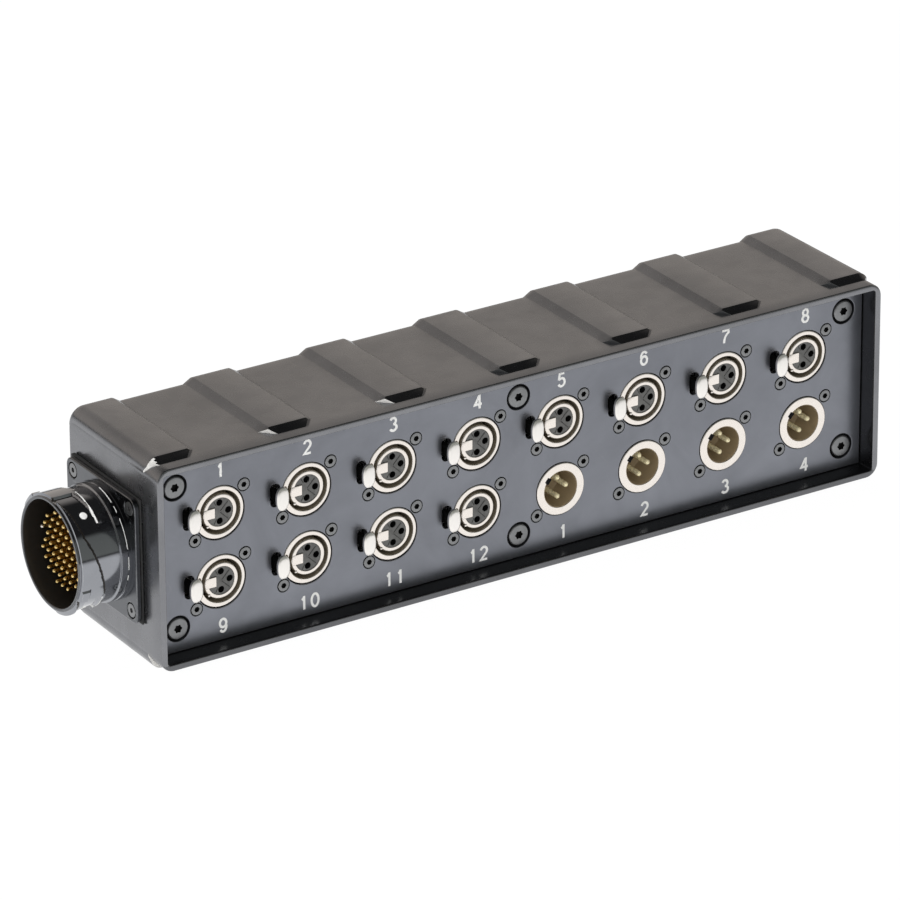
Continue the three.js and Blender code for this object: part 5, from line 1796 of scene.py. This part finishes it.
class STAGEBOX_OT_multipin_shell(Operator):
    """Makes the multipin connector's flange and barrel"""

    bl_idname = "stage_box.multipin_shell"
    bl_label = "Multipin shell"

    # Where a ramp starts, in degrees upwards from the front, and how far it runs
    RAMP_START = 87.0
    RAMP_TURN = 120.0
    # The tail of the ramp before: how far it runs, how far it leans to the rim, and its width
    RAMP_TAIL = 42.0
    TAIL_LEAN = 1.6
    TAIL_WIDTH = 2.8
    # The ramps' band behind the rim, and how far a ramp's edge slopes
    RAMPS_FROM = 0.9
    RAMPS_TO = 19.0
    RAMP_SLOPE = 0.30
    # The end of a tail that slopes down, as a share of its run
    TAIL_END = 0.2
    # Where a painted highlight lies on the base ring's edge, by degrees upwards from the front
    GLINTS = ((62.0, 86.0), (50.0, 57.0), (14.0, 43.0), (-8.0, 6.0), (-20.0, -14.0))
    # How far a ramp's edge is behind the rim, by the degrees that it has run
    RAMP_EDGE = ((0.0, 0.7), (19.0, 2.4), (36.0, 3.6), (53.0, 4.7), (65.0, 6.8), (82.0, 9.1),
                 (99.0, 11.1), (116.0, 12.8), (162.0, 15.4))
    # The lugs of the rim band, by degrees upwards from the front, and behind the rim
    LUGS = ((-86.0, -18.0), (125.0, 150.0), (205.0, 255.0))
    LUGS_FROM = 1.1
    LUGS_TO = 5.2
    # How far a lug's ends slope, by degrees
    LUG_END = 1.5
    # The middle of the base ring's groove, before the flange's face
    GROOVE_MIDDLE = 1.68
    # The rivets on the barrel, by degrees upwards from the front, and behind the rim
    RIVETS = (56.0, 176.0, 296.0)
    RIVET_PLACE = 8.85
    # The points round the barrel, and the millimetres from ring to ring where the ramps are
    SIDES = 240
    RING_STEP = 0.3

    def execute(self, context):
        barrel = mesh_of("multipin_barrel", self.barrel(), finish("black_shell"), 42.0)
        for name in ("barrel_lining", "number_white", "flange_black"):
            barrel.materials.append(finish(name))
        for face in barrel.polygons:
            face.material_index = self.finish_of(face.center / MM)
        place_piece("multipin_barrel", barrel, "multipin_black", replaces=["multipin_shell"],
                    **AT_MULTIPIN)
        place_piece("multipin_flange", self.flange(), "multipin_black", x=flange_x(),
                    **AT_MULTIPIN)
        # The rivets are plain white as a painted highlight
        rivets = mesh_of("barrel_rivets", self.rivets(), finish("number_white"), 50.0)
        place_piece("barrel_rivets", rivets, "nickel", **AT_MULTIPIN)
        return {"FINISHED"}

    def finish_of(self, centre):
        """0 for the plating, 1 for the lining and the painted shade behind a step, 2 for a painted
        highlight,
        3 for the rim, darker as painted shade."""
        radius = math.hypot(centre.y, centre.z)
        past_rim = centre.x - RIM_X
        if radius < mm(multipin_sizes().bore_radius) + 0.5 and past_rim > 0.2:
            return 1
        # The rim's faces take the flange's darker plating as painted shade
        if past_rim < 0.35:
            return 3
        degrees = math.degrees(math.atan2(centre.z, -centre.y)) % 360
        run = (self.RAMP_START - degrees) % self.RAMP_TURN
        if past_rim < self.RAMPS_TO:
            outside = radius > mm(multipin_sizes().barrel_radius) - 0.4
            # A dark band just behind a ramp's edge is painted shade, and a white line along the
            # back of a tail is a painted highlight
            if outside and 0.1 < past_rim - self.ramp_line(run) < 1.0:
                return 1
            if run < self.RAMP_TAIL and -0.9 < past_rim - self.tail_line(run) < 0:
                return 2
        # A white dashed line round the base ring's groove is a painted highlight
        in_glint = any((degrees - low) % 360 < high - low for low, high in self.GLINTS)
        if in_glint and abs(centre.x - flange_x() + self.GROOVE_MIDDLE) < 0.12:
            return 2
        return 0

    def ramp_line(self, run):
        """How far a ramp's edge is behind the rim."""
        for (start, low), (end, high) in zip(self.RAMP_EDGE, self.RAMP_EDGE[1:]):
            if run <= end:
                return low + (high - low) * (run - start) / (end - start)
        return self.RAMP_EDGE[-1][1]

    def tail_line(self, run):
        """How far the back of the tail of the ramp before is behind the rim."""
        return self.ramp_line(run + self.RAMP_TURN) - self.TAIL_LEAN * run / self.RAMP_TAIL

    def stands(self, past_rim, low, high):
        """1 between two distances behind the rim and 0 outside them, with sloping edges."""
        inside = min((past_rim - low) / self.RAMP_SLOPE, (high - past_rim) / self.RAMP_SLOPE)
        return max(0.0, min(1.0, inside))

    def raised(self, degrees, x):
        """How far a ramp or a lug stands out of the barrel at a place."""
        s = multipin_sizes()
        past_rim = x - RIM_X
        run = (self.RAMP_START - degrees) % self.RAMP_TURN
        height = self.stands(past_rim, self.RAMPS_FROM, self.ramp_line(run))
        if run < self.RAMP_TAIL:
            left = 1 - run / self.RAMP_TAIL
            back = self.tail_line(run)
            tail = self.stands(past_rim, back - self.TAIL_WIDTH * left, back)
            height = max(height, tail * min(1.0, left / self.TAIL_END))
        extra = 0.0
        for low, high in self.LUGS:
            turn = (degrees - low) % 360
            if turn < high - low:
                side = min(turn, high - low - turn) / self.LUG_END
                along = self.stands(past_rim, self.LUGS_FROM, self.LUGS_TO)
                extra = min(1.0, side, along) * mm(s.lug_height)
        return height * mm(s.ramp_height) + extra

    def barrel(self):
        s = multipin_sizes()
        radius = mm(s.barrel_radius)
        bore = mm(s.bore_radius)
        inside = [(bore, 9.0), (bore, 3.0), (bore, 0.8), (bore + 0.15, 0.25), (bore + 0.45, 0.0),
                  (radius - 0.35, 0.0), (radius - 0.1, 0.12), (radius, 0.4)]
        fine = []
        x = RIM_X + 0.6
        while x < RIM_X + self.RAMPS_TO:
            fine.append(x)
            x += self.RING_STEP
        # The base ring with its groove, and the hub behind the flange
        base = radius + 0.8
        outside = [(radius, -5.2), (radius + 0.15, -5.05), (base - 0.15, -5.0), (base, -4.85),
                   (base, -2.6), (base - 0.35, -2.45), (base - 0.35, -1.75), (base, -1.6),
                   (base, 2.9), (radius - TUBE_OUTER_INSET, 2.9)]
        tube = radius - TUBE_INNER_INSET
        step = pin_floor() + DISC_THICKNESS + DISC_GAP
        rear = SHELL_HIGH.x
        tail = [(r, flange_x() + past) for r, past in outside]
        tail += [(radius - TUBE_OUTER_INSET, rear), (tube, rear), (tube, step), (bore, step)]
        shape = Shape()
        rings = []
        for k in range(self.SIDES):
            angle = math.tau * k / self.SIDES
            degrees = math.degrees(angle)
            profile = [(r, RIM_X + past) for r, past in inside]
            profile += [(radius + self.raised(degrees, x), x) for x in fine]
            rings.append(shape.ring(self.on_barrel(angle, r, x) for r, x in profile + tail))
        shape.close_round(rings)
        return shape

    def on_barrel(self, angle, radius, x):
        """A point on the barrel. The angle runs from the front upwards."""
        return (x, -radius * math.cos(angle), radius * math.sin(angle))

    def flange(self):
        s = multipin_sizes()
        outlines = [rounded_box_outline(SQUARE_FLANGE_SIDE, SQUARE_FLANGE_SIDE,
                                        mm(s.flange_corner)),
                    circle(mm(s.barrel_radius) + 0.6, 96)]
        for node in numbered("flange_screw"):
            centre = middle_of(node)
            outlines.append(circle(FLANGE_SCREW_HOLE, 36, MULTIPIN_CENTRE.y - centre.y,
                                   centre.z - MULTIPIN_CENTRE.z))
        mesh = holed_plate("multipin_flange", outlines, mm(s.flange_thickness),
                           SQUARE_FLANGE_EDGE, finish("flange_black"))
        mesh.transform(Matrix.Rotation(-math.pi / 2, 4, "Z"))
        return mesh

    def rivets(self):
        shape = Shape()
        radius = mm(multipin_sizes().barrel_radius)
        across = Vector((1.0, 0.0, 0.0))
        centre = across * (RIM_X + self.RIVET_PLACE)
        for degrees in self.RIVETS:
            out = Vector(self.on_barrel(math.radians(degrees), 1.0, 0.0))
            up = out.cross(across)
            shape.loft([centre + out * (radius + height) + across * p.x + up * p.y
                        for p in circle(r, 20)]
                       for r, height in ((1.7, -1.0), (1.7, 0.1), (1.5, 0.3), (1.0, 0.42),
                                         (0.4, 0.46)))
        return shape


def pin_floor():
    """The face of the insert at the foot of the pins."""
    s = multipin_sizes()
    return RIM_X + mm(s.pin_recess) + mm(s.pin_height)


def pin_places():
    """The pins stand on a triangular grid inside a circle."""
    s = multipin_sizes()
    pitch = mm(s.pin_pitch)
    field = mm(s.field_radius)
    step = pitch * math.sqrt(3) / 2
    rows = math.ceil(field / step)
    columns = math.ceil(field / pitch) + 1
    places = []
    for row in range(-rows, rows + 1):
        for column in range(-columns, columns + 1):
            y = (column + (row % 2) / 2) * pitch
            z = row * step
            if math.hypot(y, z) <= field:
                places.append((y, z))
    return places


# The one pin that is plated like the rings, from the barrel's middle
BARE_PIN = Vector((16.2, 5.2))


class STAGEBOX_OT_multipin_insert(Operator):
    """Makes the multipin connector's insert and pins"""

    bl_idname = "stage_box.multipin_insert"
    bl_label = "Multipin insert"

    def execute(self, context):
        s = multipin_sizes()
        floor = pin_floor()
        radius = mm(s.pin_radius)
        profile = pin_profile(radius, RIM_X + mm(s.pin_recess), floor + 1.0, 1.1)
        pins = Shape()
        for y, z in pin_places():
            if (Vector((y, z)) - BARE_PIN).length > radius * 2:
                pins.turned(profile, 16, facing="left", x=-y, y=z)
        bare = Shape()
        bare.turned(profile, 16, facing="left", x=-BARE_PIN.x, y=BARE_PIN.y)
        disc = mesh_of("multipin_disc", self.disc(floor), finish("multipin_insert_dark"))
        pins = mesh_of("multipin_pins", pins, finish("gold_plate"), 50.0)
        bare = mesh_of("multipin_bare_pin", bare, finish("nickel_plate"), 50.0)
        place_piece("multipin_disc", disc, "contact_gold", replaces=["multipin_insert"],
                    **AT_MULTIPIN)
        place_piece("multipin_pins", pins, "contact_gold", **AT_MULTIPIN)
        place_piece("multipin_bare_pin", bare, "nickel", **AT_MULTIPIN)
        return {"FINISHED"}

    def disc(self, floor):
        """The insert, with a raised ring round each pin."""
        s = multipin_sizes()
        shape = Shape()
        edge = mm(s.bore_radius) - DISC_GAP
        rear = mm(s.barrel_radius) - TUBE_INNER_INSET - DISC_GAP
        step = floor + DISC_THICKNESS
        shape.turned(filleted([
            (AXIS, floor, 0), (edge, floor, 0.4), (edge, step, 0), (rear, step, 0),
            (rear, SHELL_HIGH.x, 0), (AXIS, SHELL_HIGH.x, 0),
        ], 2), 72, facing="left")
        collar = filleted([(1.25, floor - 0.5, 0.1), (1.7, floor - 0.5, 0.15),
                           (1.7, floor + 0.5, 0), (1.25, floor + 0.5, 0)], 1)
        for y, z in pin_places():
            shape.turned(collar, 16, facing="left", x=-y, y=z)
        return shape


class STAGEBOX_OT_flange_screws(Operator):
    """Makes the four screws of the multipin connector's flange"""

    bl_idname = "stage_box.flange_screws"
    bl_label = "Flange screws"

    def execute(self, context):
        radius = FLANGE_SCREW_RADIUS
        face = 0.15
        profile = [(radius - 0.1, face + 0.03), (radius, face + 0.2), (radius, face + 0.4),
                   (1.6, face + 1.9), (1.6, 6.0)]
        socket = hexagon(radius=1.25, softness=0.12)
        shape = screw_shape(radius - 0.45, socket, socket_depth=1.5, face=face,
                            profile=profile, facing="left")
        mesh = mesh_of("flange_screw", shape, finish("blackened_steel"), 30.0)
        for node in numbered("flange_screw"):
            number = node.rpartition("_")[2]
            centre = middle_of(node)
            place_piece(f"flange_cap_screw_{number}", mesh, "black_steel", x=flange_x(),
                        y=centre.y, z=centre.z, replaces=[node])
        return {"FINISHED"}


class STAGEBOX_OT_carried_parts(Operator):
    """Gives the gasket and the wiring loom their finish"""

    bl_idname = "stage_box.carried_parts"
    bl_label = "Gasket and wiring"

    def execute(self, context):
        for node, name in (("multipin_gasket", "gasket_coat"), ("wiring_loom", "loom_jacket")):
            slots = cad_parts[node].material_slots
            if not slots:
                raise RuntimeError(f"{node} has no material slot")
            for slot in slots:
                slot.material = finish(name)
        return {"FINISHED"}


class STAGEBOX_PT_sidebar(Panel):
    """Lists the pieces of the stage box"""

    bl_idname = "STAGEBOX_PT_sidebar"
    bl_label = "Stage Box"
    bl_space_type = "VIEW_3D"
    bl_region_type = "UI"
    bl_category = "Stage Box"

    def draw(self, context):
        for operator in PIECE_OPERATORS:
            self.layout.operator(operator.bl_idname)
        for group in ("housing", "connectors", "multipin", "finishes"):
            settings = getattr(context.scene, "stage_box_" + group)
            column = self.layout.column(heading=group.capitalize())
            for key in settings.__annotations__:
                column.prop(settings, key)


PIECE_OPERATORS = (
    STAGEBOX_OT_stage,
    STAGEBOX_OT_housing,
    STAGEBOX_OT_panel,
    STAGEBOX_OT_numbers,
    STAGEBOX_OT_panel_screws,
    STAGEBOX_OT_connector_screws,
    STAGEBOX_OT_female_connectors,
    STAGEBOX_OT_push_tabs,
    STAGEBOX_OT_male_connectors,
    STAGEBOX_OT_multipin_shell,
    STAGEBOX_OT_multipin_insert,
    STAGEBOX_OT_flange_screws,
    STAGEBOX_OT_carried_parts,
)
SETTINGS = (
    ("stage_box_housing", StageBoxHousing),
    ("stage_box_connectors", StageBoxConnectors),
    ("stage_box_multipin", StageBoxMultipin),
    ("stage_box_finishes", StageBoxFinishes),
)


def register():
    for name, group in SETTINGS:
        bpy.utils.register_class(group)
        setattr(bpy.types.Scene, name, PointerProperty(type=group))
    for operator in PIECE_OPERATORS:
        bpy.utils.register_class(operator)
    bpy.utils.register_class(STAGEBOX_PT_sidebar)


def unregister():
    bpy.utils.unregister_class(STAGEBOX_PT_sidebar)
    for operator in reversed(PIECE_OPERATORS):
        bpy.utils.unregister_class(operator)
    for name, group in reversed(SETTINGS):
        delattr(bpy.types.Scene, name)
        bpy.utils.unregister_class(group)


def main():
    register()
    for operator in PIECE_OPERATORS:
        name = operator.bl_idname.partition(".")[2]
        getattr(bpy.ops.stage_box, name)()


if __name__ == "__main__":
    main()
